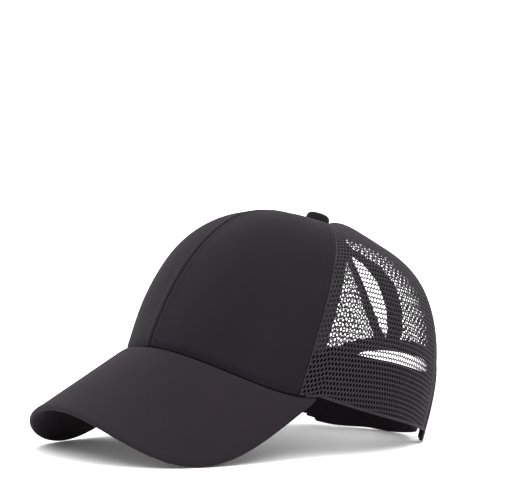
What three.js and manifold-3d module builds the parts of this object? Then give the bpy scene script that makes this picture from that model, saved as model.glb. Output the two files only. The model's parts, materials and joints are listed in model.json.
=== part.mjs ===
// Ponytail baseball cap: six panels, a bent visor, a slit and an arch at the back, and a strap.
// Millimetres. The cap is drawn in its own frame (front towards -Y, the wearer's left towards +X,
// Z = 0 at the rim) and then laid on a flat surface, on the visor's two low edges and the rear rim.
import * as THREE from "three";
import { mergeVertices } from "three/addons/utils/BufferGeometryUtils.js";
import Module from "manifold-3d";

const wasm = await Module();
wasm.setup();

const { PI, sin, cos, sqrt, abs, atan2, min, max, sign } = Math;
const rad = THREE.MathUtils.degToRad;
const lerp = THREE.MathUtils.lerp;

// Crown
const HALF_LENGTH = 93.7; // rim centre to the front of the rim
const HALF_WIDTH = 84.5; // rim centre to the side of the rim
const CROWN_HEIGHT = 98.4; // rim plane to the outside of the crown's top
const TOP_FORWARD = 7.4; // how far the top lies in front of the rim's centre
const FRONT_SEAM = 65.2; // azimuth of the seam between front and side panel, degrees
const REAR_SEAM = 125.4; // azimuth of the seam between side and back panel, degrees
const FRONT_WALL = 1.8; // lined twill
const NET_WALL = 1.2; // net cloth
const BUTTON_HOLE = 3.6; // radius of the hole where the six panels meet

// How full the crown is round its height: both numbers are exponents of the profile curve.
const PROFILES = [
  { azimuth: 0, upper: 2.04, lower: 2.97 },
  { azimuth: 60, upper: 3.89, lower: 2.28 },
  { azimuth: 120, upper: 2.8, lower: 3.16 },
  { azimuth: 180, upper: 1.32, lower: 1.95 },
];

// Visor
const VISOR_LENGTH = 70.3; // seam to front edge, along the middle
const VISOR_FLARE = 1.3; // how far its sides swell past its corners, when flat
const VISOR_THICK = 3;
const VISOR_EDGE = 1.6; // thickness of its rounded edge
const VISOR_SLOPE = 48.4; // fall of its middle line from the rim plane, degrees
const VISOR_TURN = 65.3; // how far its bend has turned down at its corners, degrees
const VISOR_TIGHTEN = 0.1; // share by which the bend tightens from seam to front edge
const VISOR_SQUARE = 3; // exponent of its outline: 2 is an ellipse, more is squarer
const VISOR_CORNER = 72.2; // azimuth where it leaves the rim, degrees
const VISOR_BLUNT = 0.985; // share of its outline that is kept, so that the corners end bluntly
const CORNER_DIP = 8.75; // how far the rim hangs below the rim plane there

// Arch and slit at the back
const MIDDLE_BACK = 180; // azimuth of the middle of the back, degrees
const ARCH_HALF_WIDTH = 52; // outside of its binding, at the rim
const ARCH_HEIGHT = 52; // outside of its binding, above the rim
const ARCH_SQUARE = 3; // exponent of its outline
const ARCH_BINDING = 7; // width of the tape round the arch
const BINDING_THICK = 2.4;
const SLIT_STOP = 7.4; // from the crown's top down to the slit's upper end
const SLIT_WIDTH = 16;
const SLIT_BINDING = 10; // width of the tape along each side of the slit

// Shares of SLIT_WIDTH and SLIT_BINDING, from the arch up to the slit's upper end.
const SLIT = [
  { up: 0, open: 0.32, tape: 1 },
  { up: 0.15, open: 0.72, tape: 1 },
  { up: 0.45, open: 1, tape: 1 },
  { up: 0.7, open: 0.85, tape: 1 },
  { up: 0.88, open: 0.45, tape: 0.9 },
  { up: 1, open: 0.06, tape: 0.62 },
];

// Tapes, sweatband, closure and button
const GAP = 0.3; // between neighbours that are sewn edge to edge
const LAYER_GAP = 0.5; // between layers that lie on each other
const PLUG_REACH = 8; // how far a cut reaches past the wall on each side
const SEAM_TAPE_WIDTH = 15;
const SEAM_TAPE_THICK = 1;
const REAR_TAPE_WIDTH = 12; // above the slit
const TAPE_STOP = 1.2; // a tape ends where the crown's radius is this many widths
const SWEATBAND_HEIGHT = 30;
const SWEATBAND_THICK = 1.6;
const SWEATBAND_REACH = 147; // azimuth where it ends beside the arch, degrees
const STRAP_HEIGHT = 24;
const STRAP_THICK = 1.6;
const STRAP_ANCHOR = 52; // degrees from the middle of the back to a strap's sewn end
const STRAP_OVERLAP = 21; // degrees that each strap reaches past the middle
const BUTTON_RADIUS = 7;
const BUTTON_HEIGHT = 7.2;
const BUTTON_FLAT = 4; // radius of its flat top
const BUTTON_FOOT = 0.93; // share of its radius where it meets the crown
const SHANK_RADIUS = 2.8;
const SHANK_LENGTH = 4;

// Side of the button, in shares of its radius and height.
const BUTTON_SIDE = [
  { out: 1, up: 0.28 },
  { out: 0.9, up: 0.74 },
];

// Net: a coarse stand-in for the fine net, cut right through
const NET_ACROSS = 4; // gaps in a full row
const NET_ROWS_SIDE = 8;
const NET_ROWS_BACK = 7;
const NET_STRAND = 2.8; // width of a strand at the rim
const NET_ZIGZAG = 0.2; // share of a row by which the strands zigzag
const NET_SIDE_MARGIN = 9; // uncut strip along each seam, at the rim
const NET_EDGE_MARGIN = 8; // uncut strip along the bindings of arch and slit
const NET_FOOT = 0.2; // share of a panel's height left uncut at its foot
const NET_HEAD = 0.86; // share of a panel's height where the net gaps end
const NET_PLAIN_ROWS = { foot: 3, head: 2 };

// Facets across and along each kind of piece
const COLUMNS = { front: 9, visor: 32, sweatband: 38, tape: 2, arch: 24, slit: 2, strap: 12 };
const ROWS = { front: 13, visor: 6, sweatband: 3, tape: 10, arch: 2, slit: 12, strap: 2, plug: 4 };
const VISOR_CROWD = 1.5; // exponent by which the visor's rows crowd towards its edge
const BUTTON_SIDES = 16;

// Numbers of the solutions by repeated steps
const ROUNDS = 12; // of each fixed-point or Newton solution
const HALVINGS = 40; // of the resting pitch
const STEP = 1e-3; // radians, for directions taken by difference

// Smooth step through the rows of a table whose first column rises.
function fromTable(table, key, at, column) {
  let k = 1;
  while (k < table.length - 1 && table[k][key] < at) k += 1;
  const a = table[k - 1];
  const b = table[k];
  const f = min(max((at - a[key]) / (b[key] - a[key]), 0), 1);
  return lerp(a[column], b[column], f * f * (3 - 2 * f));
}

function profileExponents(azimuth) {
  const degrees = (abs(atan2(sin(azimuth), cos(azimuth))) * 180) / PI;
  return {
    upper: fromTable(PROFILES, "azimuth", degrees, "upper"),
    lower: fromTable(PROFILES, "azimuth", degrees, "lower"),
  };
}

// Visor surface: a point in flat coordinates (side along the bend, out from the seam's middle).
const SLOPE = rad(VISOR_SLOPE);
const CORNER = rad(VISOR_CORNER);

// How far out a point of the visor lies that is a drop below its crest, and set back from the front.
function outAt(drop, back) {
  return (drop * sin(SLOPE) - back) / cos(SLOPE);
}

// Bend radius at the middle of the seam, from the turn that the visor has made at its corners.
function bendAtSeam() {
  const radius = (HALF_WIDTH * sin(CORNER)) / sin(rad(VISOR_TURN));
  const drop = radius * (1 - cos(rad(VISOR_TURN)));
  const out = outAt(drop, HALF_LENGTH * (1 - cos(CORNER)));
  return radius / (1 - (VISOR_TIGHTEN * out) / VISOR_LENGTH);
}

const VISOR_BEND = bendAtSeam();

function bendRadius(out) {
  return VISOR_BEND * (1 - (VISOR_TIGHTEN * out) / VISOR_LENGTH);
}

// Where the vertical line through a point of the rim meets the visor's surface.
function seamOnVisor(azimuth) {
  const x = HALF_WIDTH * sin(azimuth);
  const back = HALF_LENGTH * (1 - cos(azimuth));
  let out = -back;
  let radius = bendRadius(out);
  let drop = 0;
  for (let k = 0; k < ROUNDS; k += 1) {
    drop = radius - sqrt(radius * radius - x * x);
    out = outAt(drop, back);
    radius = bendRadius(out);
  }
  return { side: radius * Math.asin(x / radius), out, fall: out * sin(SLOPE) + drop * cos(SLOPE) };
}

const SEAM_LIFT = seamOnVisor(CORNER).fall - CORNER_DIP;

function visorPoint(side, out, offset) {
  const radius = bendRadius(out);
  const turn = side / radius;
  const up = (radius + offset) * cos(turn) - radius;
  return new THREE.Vector3(
    (radius + offset) * sin(turn),
    -HALF_LENGTH - out * cos(SLOPE) - up * sin(SLOPE),
    SEAM_LIFT - out * sin(SLOPE) + up * cos(SLOPE),
  );
}

// Height of the rim: along the visor in front, then easing back to the rim plane.
function rimHeight(azimuth) {
  const a = abs(atan2(sin(azimuth), cos(azimuth)));
  if (a < CORNER) return SEAM_LIFT - seamOnVisor(a).fall;
  return (-CORNER_DIP * (1 + cos((PI * (a - CORNER)) / (PI - CORNER)))) / 2;
}

// Crown surface. Girth is the share of the rim's radius and rise the share of the height.
function girthAtRise(azimuth, rise) {
  const e = profileExponents(azimuth);
  return max(1 - min(max(rise, 0), 1) ** e.upper, 0) ** (1 / e.lower);
}

// The profile girth^lower + rise^upper = 1, met by the ray at an angle above the rim plane.
function profileAt(azimuth, angle) {
  const e = profileExponents(azimuth);
  let k = 1;
  for (let round = 0; round < ROUNDS; round += 1) {
    const g = (k * cos(angle)) ** e.lower;
    const r = (k * sin(angle)) ** e.upper;
    k -= (g + r - 1) / ((e.lower * g + e.upper * r) / k);
  }
  return { girth: k * cos(angle), rise: k * sin(angle) };
}

function onCrown(azimuth, { girth, rise }) {
  return new THREE.Vector3(
    HALF_WIDTH * sin(azimuth) * girth,
    -HALF_LENGTH * cos(azimuth) * girth - TOP_FORWARD * (1 - girth),
    lerp(rimHeight(azimuth), CROWN_HEIGHT, rise),
  );
}

// A point at an angle above the rim, moved along the outward normal.
function crownPoint(azimuth, angle, offset) {
  const at = (da, db) => onCrown(azimuth + da, profileAt(azimuth + da, angle + db));
  const p = at(0, 0);
  if (!offset) return p;
  const along = at(STEP, 0).sub(at(-STEP, 0));
  const lift = angle > STEP ? -STEP : 0;
  const up = at(0, STEP).sub(at(0, lift));
  return p.add(along.cross(up).normalize().multiplyScalar(offset));
}

function angleAtRise(azimuth, rise) {
  return atan2(rise, girthAtRise(azimuth, rise));
}

function angleAtHeight(azimuth, height) {
  const rim = rimHeight(azimuth);
  return angleAtRise(azimuth, (height - rim) / (CROWN_HEIGHT - rim));
}

// Angle where the crown's horizontal radius comes down to a small one near the top.
function angleAtRadius(azimuth, radius) {
  const reach = Math.hypot(HALF_WIDTH * sin(azimuth), (HALF_LENGTH - TOP_FORWARD) * cos(azimuth));
  const e = profileExponents(azimuth);
  const girth = radius / reach;
  return atan2((1 - girth ** e.lower) ** (1 / e.upper), girth);
}

// Azimuth change that moves a point sideways by a width.
function azimuthFor(azimuth, angle, width) {
  const a = crownPoint(azimuth - STEP, angle, 0);
  const b = crownPoint(azimuth + STEP, angle, 0);
  return (width * 2 * STEP) / a.distanceTo(b);
}

// A point of the back, given its distance from the middle and its height above the rim plane.
function backPoint(x, height, offset) {
  let azimuth = PI - x / HALF_WIDTH;
  for (let k = 0; k < ROUNDS; k += 1) {
    const rim = rimHeight(azimuth);
    const girth = girthAtRise(azimuth, (height - rim) / (CROWN_HEIGHT - rim));
    azimuth = PI - Math.asin(min(max(x / (HALF_WIDTH * girth), -1), 1));
  }
  return crownPoint(azimuth, angleAtHeight(azimuth, height), offset);
}

// A closed wall over a grid of corners, each with an outer and an inner point. Open cells are cut.
function wallGeometry(columns, rows, corner, isOpen = () => false) {
  const points = [];
  const index = [];
  const id = (i, j, side) => ((j * (columns + 1) + i) * 2 + side);
  for (let j = 0; j <= rows; j += 1)
    for (let i = 0; i <= columns; i += 1) {
      const { outer, inner } = corner(i, j);
      points.push(...outer.toArray(), ...inner.toArray());
    }
  const filled = (i, j) => i >= 0 && j >= 0 && i < columns && j < rows && !isOpen(i, j);
  const quad = (a, b, c, d) => index.push(a, b, c, a, c, d);
  for (let j = 0; j < rows; j += 1)
    for (let i = 0; i < columns; i += 1) {
      if (!filled(i, j)) continue;
      const ring = [[i, j], [i + 1, j], [i + 1, j + 1], [i, j + 1]];
      const beside = [[i, j - 1], [i + 1, j], [i, j + 1], [i - 1, j]];
      quad(...ring.map(([a, b]) => id(a, b, 0)));
      quad(...ring.map(([a, b]) => id(a, b, 1)).reverse());
      beside.forEach(([a, b], k) => {
        if (filled(a, b)) return;
        const from = ring[k];
        const to = ring[(k + 1) % 4];
        quad(id(...to, 0), id(...from, 0), id(...from, 1), id(...to, 1));
      });
    }
  return orientedGeometry(points, index);
}

// Faces are turned to point out, and unused points are left out.
function orientedGeometry(points, index) {
  const at = (k) => new THREE.Vector3().fromArray(points, 3 * k);
  let volume = 0;
  for (let k = 0; k < index.length; k += 3)
    volume += at(index[k]).dot(at(index[k + 1]).cross(at(index[k + 2])));
  if (volume < 0) index.reverse();
  const used = new Map();
  const kept = [];
  const renumbered = index.map((k) => {
    if (!used.has(k)) {
      used.set(k, used.size);
      kept.push(points[3 * k], points[3 * k + 1], points[3 * k + 2]);
    }
    return used.get(k);
  });
  const geometry = new THREE.BufferGeometry();
  geometry.setAttribute("position", new THREE.Float32BufferAttribute(kept, 3));
  geometry.setIndex(renumbered);
  geometry.computeVertexNormals();
  return geometry;
}

// Materials
const cloth = (color, roughness) => new THREE.MeshStandardMaterial({ color, roughness, metalness: 0 });
const TWILL = cloth(0x2b272a, 0.85);
const NET = cloth(0x262426, 0.8);
const TAPE = cloth(0x2f2b2e, 0.8);
const BAND = cloth(0x1d1b1d, 0.9);
const VISOR_CLOTH = cloth(0x322c2d, 0.85);

function mesh(name, geometry, material) {
  const made = new THREE.Mesh(geometry, material);
  made.name = name;
  return made;
}

// Height of the slit's upper end above the rim plane.
const SLIT_TOP = CROWN_HEIGHT - SLIT_STOP;

// The slit's half opening and the outside of its binding, at a height.
function slitAt(height) {
  const up = (height - ARCH_HEIGHT) / (SLIT_TOP - ARCH_HEIGHT);
  const open = (SLIT_WIDTH / 2) * fromTable(SLIT, "up", up, "open");
  return { open, outside: open + SLIT_BINDING * fromTable(SLIT, "up", up, "tape") };
}

// A point of the arch's outline, drawn in from its outside, at a turn from one foot to the other.
function archOutline(turn, inset) {
  const power = (value) => sign(value) * abs(value) ** (2 / ARCH_SQUARE);
  return {
    x: (ARCH_HALF_WIDTH - inset) * power(cos(turn)),
    height: (ARCH_HEIGHT - inset) * power(sin(turn)),
  };
}

// Height of the arch's outside above a distance from the middle.
function archOver(x) {
  return ARCH_HEIGHT * max(1 - abs(x / ARCH_HALF_WIDTH) ** ARCH_SQUARE, 0) ** (1 / ARCH_SQUARE);
}

// A point of a slit binding: across it from the opening outwards, and up from the arch.
function slitBindingAt(across, up) {
  let x = 0;
  let height = ARCH_HEIGHT;
  for (let round = 0; round < ROUNDS; round += 1) {
    const edge = slitAt(height);
    x = lerp(edge.open, edge.outside, across);
    height = lerp(archOver(x) + GAP, SLIT_TOP, up);
  }
  return { x, height };
}

function solidOf(geometry) {
  const bare = new THREE.BufferGeometry();
  bare.setAttribute("position", geometry.getAttribute("position"));
  bare.setIndex(geometry.index);
  const merged = mergeVertices(bare, 1e-3);
  const vertProperties = merged.attributes.position.array;
  const triVerts = new Uint32Array(merged.index.array);
  return new wasm.Manifold(new wasm.Mesh({ numProp: 3, vertProperties, triVerts }));
}

function geometryOf(solid) {
  const { vertProperties, triVerts } = solid.getMesh();
  const geometry = new THREE.BufferGeometry();
  geometry.setAttribute("position", new THREE.BufferAttribute(vertProperties, 3));
  geometry.setIndex(new THREE.BufferAttribute(triVerts, 1));
  geometry.computeVertexNormals();
  return geometry;
}

// Solids that fill the arch, and the slit with its bindings, through the crown's wall.
function archPlug() {
  return wallGeometry(COLUMNS.arch, ROWS.plug, (i, j) => {
    const outline = archOutline(PI * (1 - i / COLUMNS.arch), -GAP);
    const height = (outline.height * max(j - 1, 0)) / (ROWS.plug - 1);
    const place = (offset) => {
      const point = backPoint(outline.x, height, offset);
      if (j === 0) point.z -= PLUG_REACH;
      return point;
    };
    return { outer: place(PLUG_REACH), inner: place(-PLUG_REACH) };
  });
}

function slitPlug() {
  return wallGeometry(2, ROWS.slit + 2, (i, j) => {
    const row = min(max(j - 1, 0), ROWS.slit);
    const edge = slitBindingAt(1, row / ROWS.slit);
    let { height } = edge;
    if (j === 0) height -= PLUG_REACH;
    if (j > ROWS.slit + 1) height += GAP;
    const x = (i - 1) * (edge.x + LAYER_GAP);
    return { outer: backPoint(x, height, PLUG_REACH), inner: backPoint(x, height, -PLUG_REACH) };
  });
}

// A panel between two seams, from the rim up to the button's hole.
function panelCorner(from, to, wall) {
  return (u, v) => {
    const angle = v * angleAtRadius(lerp(from, to, u), BUTTON_HOLE);
    const start = from + azimuthFor(from, angle, GAP / 2);
    const azimuth = lerp(start, to - azimuthFor(to, angle, GAP / 2), u);
    return { outer: crownPoint(azimuth, angle, 0), inner: crownPoint(azimuth, angle, -wall) };
  };
}

function frontPanel() {
  const corner = panelCorner(0, rad(FRONT_SEAM), FRONT_WALL);
  return wallGeometry(COLUMNS.front, ROWS.front, (i, j) => corner(i / COLUMNS.front, j / ROWS.front));
}

// Cuts along a net panel: a margin, then a strand at every half pitch of the gaps.
function netColumns(width) {
  const margin = NET_SIDE_MARGIN / width;
  const strands = 2 * NET_ACROSS;
  const half = NET_STRAND / width / 2;
  const cuts = [{ at: 0, strand: 0 }];
  for (let k = 0; k <= strands; k += 1) {
    const middle = lerp(margin, 1 - margin, k / strands);
    cuts.push({ at: middle - half, strand: k }, { at: middle + half, strand: k });
  }
  cuts.push({ at: 1, strand: strands });
  return cuts;
}

// Rows of a net panel: an uncut foot, a strand and a gap in turn, and an uncut head.
function netRows(bands) {
  const rows = [];
  for (let k = 0; k < NET_PLAIN_ROWS.foot; k += 1) rows.push({ foot: k / NET_PLAIN_ROWS.foot });
  for (let line = 0; line <= bands; line += 1) rows.push({ line, edge: -1 }, { line, edge: 1 });
  for (let k = 1; k <= NET_PLAIN_ROWS.head; k += 1) rows.push({ head: k / NET_PLAIN_ROWS.head });
  return rows;
}

// Gaps stand in staggered rows, each centred on every second strand position. For a cell that
// lies in a gap this gives the gap's strand position, and otherwise 0.
function gapStrand(column, row, bands) {
  const band = (row - NET_PLAIN_ROWS.foot - 1) / 2;
  const last = 2 * NET_ACROSS;
  if (!Number.isInteger(band) || band < 0 || band >= bands) return 0;
  if (column < 1 || column > 2 * last + 1) return 0;
  const centred = (k) => k > 0 && k < last && k % 2 === (band % 2 === 0 ? 1 : 0);
  const strand = (column - 1) / 2;
  const near = Number.isInteger(strand) ? [strand] : [strand - 0.5, strand + 0.5];
  return near.find(centred) ?? 0;
}

function netPanel(from, to, bands, keepClear = () => false) {
  const cuts = netColumns(crownPoint(from, 0, 0).distanceTo(crownPoint(to, 0, 0)));
  const rows = netRows(bands);
  const corner = panelCorner(from, to, NET_WALL);
  const half = NET_STRAND / panelHeight() / 2;
  const level = ({ foot, line, edge, head }, { strand }) => {
    if (foot !== undefined) return foot * (NET_FOOT - half);
    if (head !== undefined) return lerp(NET_HEAD, 1, head);
    const zigzag = (strand + line) % 2 === 0 ? NET_ZIGZAG : -NET_ZIGZAG;
    return lerp(NET_FOOT, NET_HEAD, (line + zigzag + 0.5) / (bands + 1)) + edge * half;
  };
  const place = (i, j) => corner(cuts[i].at, level(rows[j], cuts[i]));
  return wallGeometry(cuts.length - 1, rows.length - 1, place, (i, j) => {
    const strand = gapStrand(i, j, bands);
    return strand > 0 && !keepClear(place(2 * strand + 1, j).outer, place(2 * strand + 2, j + 1).outer);
  });
}

function sidePanel() {
  return netPanel(rad(FRONT_SEAM), rad(REAR_SEAM), NET_ROWS_SIDE);
}

// The back panel is cut out along the arch and the slit, and has no gaps close to either.
function backPanel() {
  const nearEdge = (...points) => {
    const x = abs(points[0].x + points[1].x) / 2;
    const height = (points[0].z + points[1].z) / 2;
    const past = x / (ARCH_HALF_WIDTH + NET_EDGE_MARGIN);
    const over = height / (ARCH_HEIGHT + NET_EDGE_MARGIN);
    const inArch = past ** ARCH_SQUARE + max(over, 0) ** ARCH_SQUARE < 1;
    return inArch || x < slitAt(height).outside + NET_EDGE_MARGIN;
  };
  const whole = solidOf(netPanel(rad(REAR_SEAM), PI, NET_ROWS_BACK, nearEdge));
  return geometryOf(whole.subtract(solidOf(archPlug())).subtract(solidOf(slitPlug())));
}

// Length of the seam line from rim to top, as the sum of short steps.
function panelHeight() {
  const seam = rad(REAR_SEAM);
  const steps = 24;
  let length = 0;
  for (let k = 0; k < steps; k += 1) {
    const a = crownPoint(seam, (PI / 2) * (k / steps), 0);
    length += a.distanceTo(crownPoint(seam, (PI / 2) * ((k + 1) / steps), 0));
  }
  return length;
}

// The visor's flat outline: a squared ellipse through both corners and the front.
function visorOutline(share) {
  const corner = seamOnVisor(CORNER);
  const spread = corner.side + VISOR_FLARE;
  const n = VISOR_SQUARE;
  const narrow = (1 - (corner.side / spread) ** n) ** (1 / n);
  const middle = (corner.out + narrow * VISOR_LENGTH) / (1 + narrow);
  const end = PI - atan2((corner.side / spread) ** (n / 2), narrow ** (n / 2));
  const turn = share * end;
  const power = (value) => sign(value) * abs(value) ** (2 / n);
  return { side: spread * power(sin(turn)), out: middle + (VISOR_LENGTH - middle) * power(cos(turn)) };
}

function visor() {
  return wallGeometry(COLUMNS.visor, ROWS.visor, (i, j) => {
    const share = VISOR_BLUNT * ((2 * i) / COLUMNS.visor - 1);
    const seam = seamOnVisor(CORNER * share);
    const edge = visorOutline(share);
    const across = 1 - (1 - j / ROWS.visor) ** VISOR_CROWD;
    const side = lerp(seam.side, edge.side, across);
    const start = ((VISOR_THICK / 2) * sin(SLOPE) + GAP) / cos(SLOPE);
    const out = lerp(seam.out + start * cos(CORNER * share), edge.out, across);
    const thick = j === ROWS.visor ? VISOR_EDGE : VISOR_THICK;
    return { outer: visorPoint(side, out, thick / 2), inner: visorPoint(side, out, -thick / 2) };
  });
}

// A tape behind a seam, from a height that may change along the rim up to near the top.
function seamTape(azimuth, width, footHeight) {
  const depth = FRONT_WALL + LAYER_GAP;
  const top = angleAtRadius(azimuth, width * TAPE_STOP);
  return wallGeometry(COLUMNS.tape, ROWS.tape, (i, j) => {
    const beside = (i / COLUMNS.tape - 0.5) * width;
    const start = azimuth + azimuthFor(azimuth, 0, beside);
    const angle = lerp(angleAtHeight(start, footHeight(start)), top, j / ROWS.tape);
    const a = azimuth + azimuthFor(azimuth, angle, beside);
    return {
      outer: crownPoint(a, angle, -depth),
      inner: crownPoint(a, angle, -depth - SEAM_TAPE_THICK),
    };
  });
}

// A band inside the rim, from one azimuth to another, at a depth behind the outside of the crown.
function rimBand(from, to, height, depth, thick, columns, rows) {
  return wallGeometry(columns, rows, (i, j) => {
    const azimuth = lerp(from, to, i / columns);
    const angle = angleAtHeight(azimuth, rimHeight(azimuth) + (height * j) / rows);
    return {
      outer: crownPoint(azimuth, angle, -depth),
      inner: crownPoint(azimuth, angle, -depth - thick),
    };
  });
}

const SWEATBAND_DEPTH = FRONT_WALL + LAYER_GAP;
const STRAP_DEPTH = SWEATBAND_DEPTH + SWEATBAND_THICK + LAYER_GAP;

function sweatband() {
  const reach = rad(SWEATBAND_REACH);
  const { sweatband: columns } = COLUMNS;
  return rimBand(-reach, reach, SWEATBAND_HEIGHT, SWEATBAND_DEPTH, SWEATBAND_THICK, columns, ROWS.sweatband);
}

// Two straps that overlap at the middle of the back, one behind the other.
function strap(from, to, layer) {
  const depth = STRAP_DEPTH + layer * (STRAP_THICK + LAYER_GAP);
  return rimBand(rad(from), rad(to), STRAP_HEIGHT, depth, STRAP_THICK, COLUMNS.strap, ROWS.strap);
}

// How far a binding stands out from the net on each side.
const BINDING_PROUD = (BINDING_THICK - NET_WALL) / 2;

// The tape round the arch, drawn from rim to rim over the top.
function archBinding() {
  return wallGeometry(COLUMNS.arch, ROWS.arch, (i, j) => {
    const inset = ARCH_BINDING * (1 - j / ROWS.arch);
    const { x, height } = archOutline(PI * (1 - i / COLUMNS.arch), inset);
    return {
      outer: backPoint(x, height, BINDING_PROUD),
      inner: backPoint(x, height, BINDING_PROUD - BINDING_THICK),
    };
  });
}

// The tape along one side of the slit, from the arch to the slit's upper end.
function slitBinding() {
  return wallGeometry(COLUMNS.slit, ROWS.slit, (i, j) => {
    const { x, height } = slitBindingAt(i / COLUMNS.slit, j / ROWS.slit);
    return {
      outer: backPoint(x, height, BINDING_PROUD),
      inner: backPoint(x, height, BINDING_PROUD - BINDING_THICK),
    };
  });
}

// The button: a low dome with a flat top, and a shank through the hole where the panels meet.
function button() {
  const profile = [[0, -SHANK_LENGTH], [SHANK_RADIUS, -SHANK_LENGTH], [SHANK_RADIUS, GAP]];
  profile.push([BUTTON_RADIUS * BUTTON_FOOT, GAP]);
  for (const { out, up } of BUTTON_SIDE) profile.push([BUTTON_RADIUS * out, BUTTON_HEIGHT * up]);
  profile.push([BUTTON_FLAT, BUTTON_HEIGHT], [0, BUTTON_HEIGHT]);
  const geometry = new THREE.LatheGeometry(profile.map(([x, y]) => new THREE.Vector2(x, y)), BUTTON_SIDES);
  return geometry.rotateX(PI / 2);
}

function mirrored(geometry) {
  const copy = geometry.clone().scale(-1, 1, 1);
  copy.setIndex([...copy.index.array].reverse());
  return copy;
}

const cap = new THREE.Group();

function addPair(name, geometry, material) {
  cap.add(mesh(`${name}_left`, geometry, material));
  cap.add(mesh(`${name}_right`, mirrored(geometry), material));
}

const visorMesh = mesh("visor", visor(), VISOR_CLOTH);
const bandMesh = mesh("sweatband", sweatband(), BAND);
const overBand = (azimuth) => rimHeight(azimuth) + SWEATBAND_HEIGHT + LAYER_GAP;
addPair("front_panel", frontPanel(), TWILL);
addPair("side_net_panel", sidePanel(), NET);
addPair("back_net_panel", backPanel(), NET);
addPair("slit_binding", slitBinding(), TAPE);
for (const [name, degrees] of [["front_seam_tape", FRONT_SEAM], ["rear_seam_tape", REAR_SEAM]]) {
  addPair(name, seamTape(rad(degrees), SEAM_TAPE_WIDTH, overBand), TAPE);
}
cap.add(mesh("centre_back_tape", seamTape(PI, REAR_TAPE_WIDTH, () => SLIT_TOP + GAP), TAPE));
cap.add(mesh("arch_binding", archBinding(), TAPE));
const overlapEnds = [MIDDLE_BACK - STRAP_OVERLAP, MIDDLE_BACK + STRAP_OVERLAP];
const [leftStrap, rightStrap] = [
  strap(MIDDLE_BACK - STRAP_ANCHOR, overlapEnds[1], 0),
  strap(overlapEnds[0], MIDDLE_BACK + STRAP_ANCHOR, 1),
];
cap.add(mesh("closure_strap_left", leftStrap, BAND), mesh("closure_strap_right", rightStrap, BAND));
cap.add(bandMesh, visorMesh);
const buttonMesh = mesh("button", button(), TWILL);
buttonMesh.position.set(0, -TOP_FORWARD, CROWN_HEIGHT);
cap.add(buttonMesh);

// Lowest height of a mesh once the cap is pitched back by an angle.
function lowest(object, pitch) {
  const points = object.geometry.attributes.position;
  let low = Infinity;
  for (let k = 0; k < points.count; k += 1)
    low = min(low, points.getZ(k) * cos(pitch) - points.getY(k) * sin(pitch));
  return low;
}

// The cap lies on the visor's low edges and on its rear rim, so both come to one level.
function restPitch() {
  const rear = cap.children.filter((child) => child !== visorMesh && child !== buttonMesh);
  let low = 0;
  let high = PI / 4;
  for (let k = 0; k < HALVINGS; k += 1) {
    const pitch = (low + high) / 2;
    const rearLow = min(...rear.map((child) => lowest(child, pitch)));
    if (lowest(visorMesh, pitch) < rearLow) low = pitch;
    else high = pitch;
  }
  return low;
}

cap.rotation.x = -restPitch();
cap.updateMatrixWorld(true);
const box = new THREE.Box3().setFromObject(cap, true);
const centre = box.getCenter(new THREE.Vector3());
cap.position.set(-centre.x, -centre.y, -box.min.z);

export default cap;
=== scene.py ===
import json
import math

import bpy
import numpy as np
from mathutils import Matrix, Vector, noise


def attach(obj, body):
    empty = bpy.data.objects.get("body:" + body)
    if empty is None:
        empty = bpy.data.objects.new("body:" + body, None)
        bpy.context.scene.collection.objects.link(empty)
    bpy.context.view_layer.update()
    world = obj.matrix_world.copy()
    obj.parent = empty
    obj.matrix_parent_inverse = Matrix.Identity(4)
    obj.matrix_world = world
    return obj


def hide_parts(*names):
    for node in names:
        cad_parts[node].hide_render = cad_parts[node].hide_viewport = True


bl_info = {
    "name": "Ponytail baseball cap",
    "version": (1, 0, 0),
    "blender": (4, 5, 0),
    "location": "3D View > Sidebar > Cap",
    "description": "Sews a baseball cap with cloth front, open net back, ponytail slit and bent visor",
    "category": "Object",
}

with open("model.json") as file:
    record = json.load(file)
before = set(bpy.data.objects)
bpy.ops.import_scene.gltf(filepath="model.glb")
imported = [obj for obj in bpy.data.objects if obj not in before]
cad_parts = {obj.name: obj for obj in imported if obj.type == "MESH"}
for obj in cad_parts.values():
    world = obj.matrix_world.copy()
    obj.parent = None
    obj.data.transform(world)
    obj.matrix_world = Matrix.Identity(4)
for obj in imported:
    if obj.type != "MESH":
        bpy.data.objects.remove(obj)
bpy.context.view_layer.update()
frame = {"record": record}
OPENING = next(m for m in frame["record"]["mounts"] if m["name"] == "head_opening")
RIM_CENTRE = np.array(OPENING["pos_m"])
PITCH = math.atan2(-OPENING["axis"][1], -OPENING["axis"][2])
MM = 0.001
BACK = math.pi  # azimuth of the middle of the back

# View of the photograph: the camera's place round a target above the rim's centre, and how far
# past that target it aims
VIEW_AZIMUTH, VIEW_ELEVATION = math.radians(54), math.radians(3.487)
VIEW_DISTANCE = 1.3245
VIEW_RISE, AIM_LEFT, AIM_UP = 50 * MM, 11.32 * MM, 32.29 * MM
LENS = 157.4  # millimetres, on a sensor 36 mm wide

RIM_FOLD = 1.0 * MM  # the crown's cloth ends this far above the rim, inside the rim's fold
NET_TOP = 5.0 * MM  # radius round the top where the net ends, under the button
WELD = 1e-6

# How full the crown is round its height: both numbers are exponents of the profile curve
PROFILES = {
    "azimuth": (0, 60, 120, 180),
    "upper": (2.04, 3.89, 2.8, 1.32),
    "lower": (2.97, 2.28, 3.16, 1.95),
}

# Shares of the slit's width and of its binding, from the arch up to the slit's upper end
SLIT = {
    "up": (0, 0.15, 0.45, 0.7, 0.88, 1),
    "open": (0.1, 0.55, 0.95, 0.95, 0.7, 0.0),
    "tape": (1, 1, 1, 1, 0.9, 0.62),
}


# Properties


def size(name, millimetres, description):
    return bpy.props.FloatProperty(
        name=name, description=description, default=millimetres * MM, unit="LENGTH", precision=5
    )


def turn(name, degrees, description):
    return bpy.props.FloatProperty(
        name=name, description=description, default=math.radians(degrees), subtype="ANGLE"
    )


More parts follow.
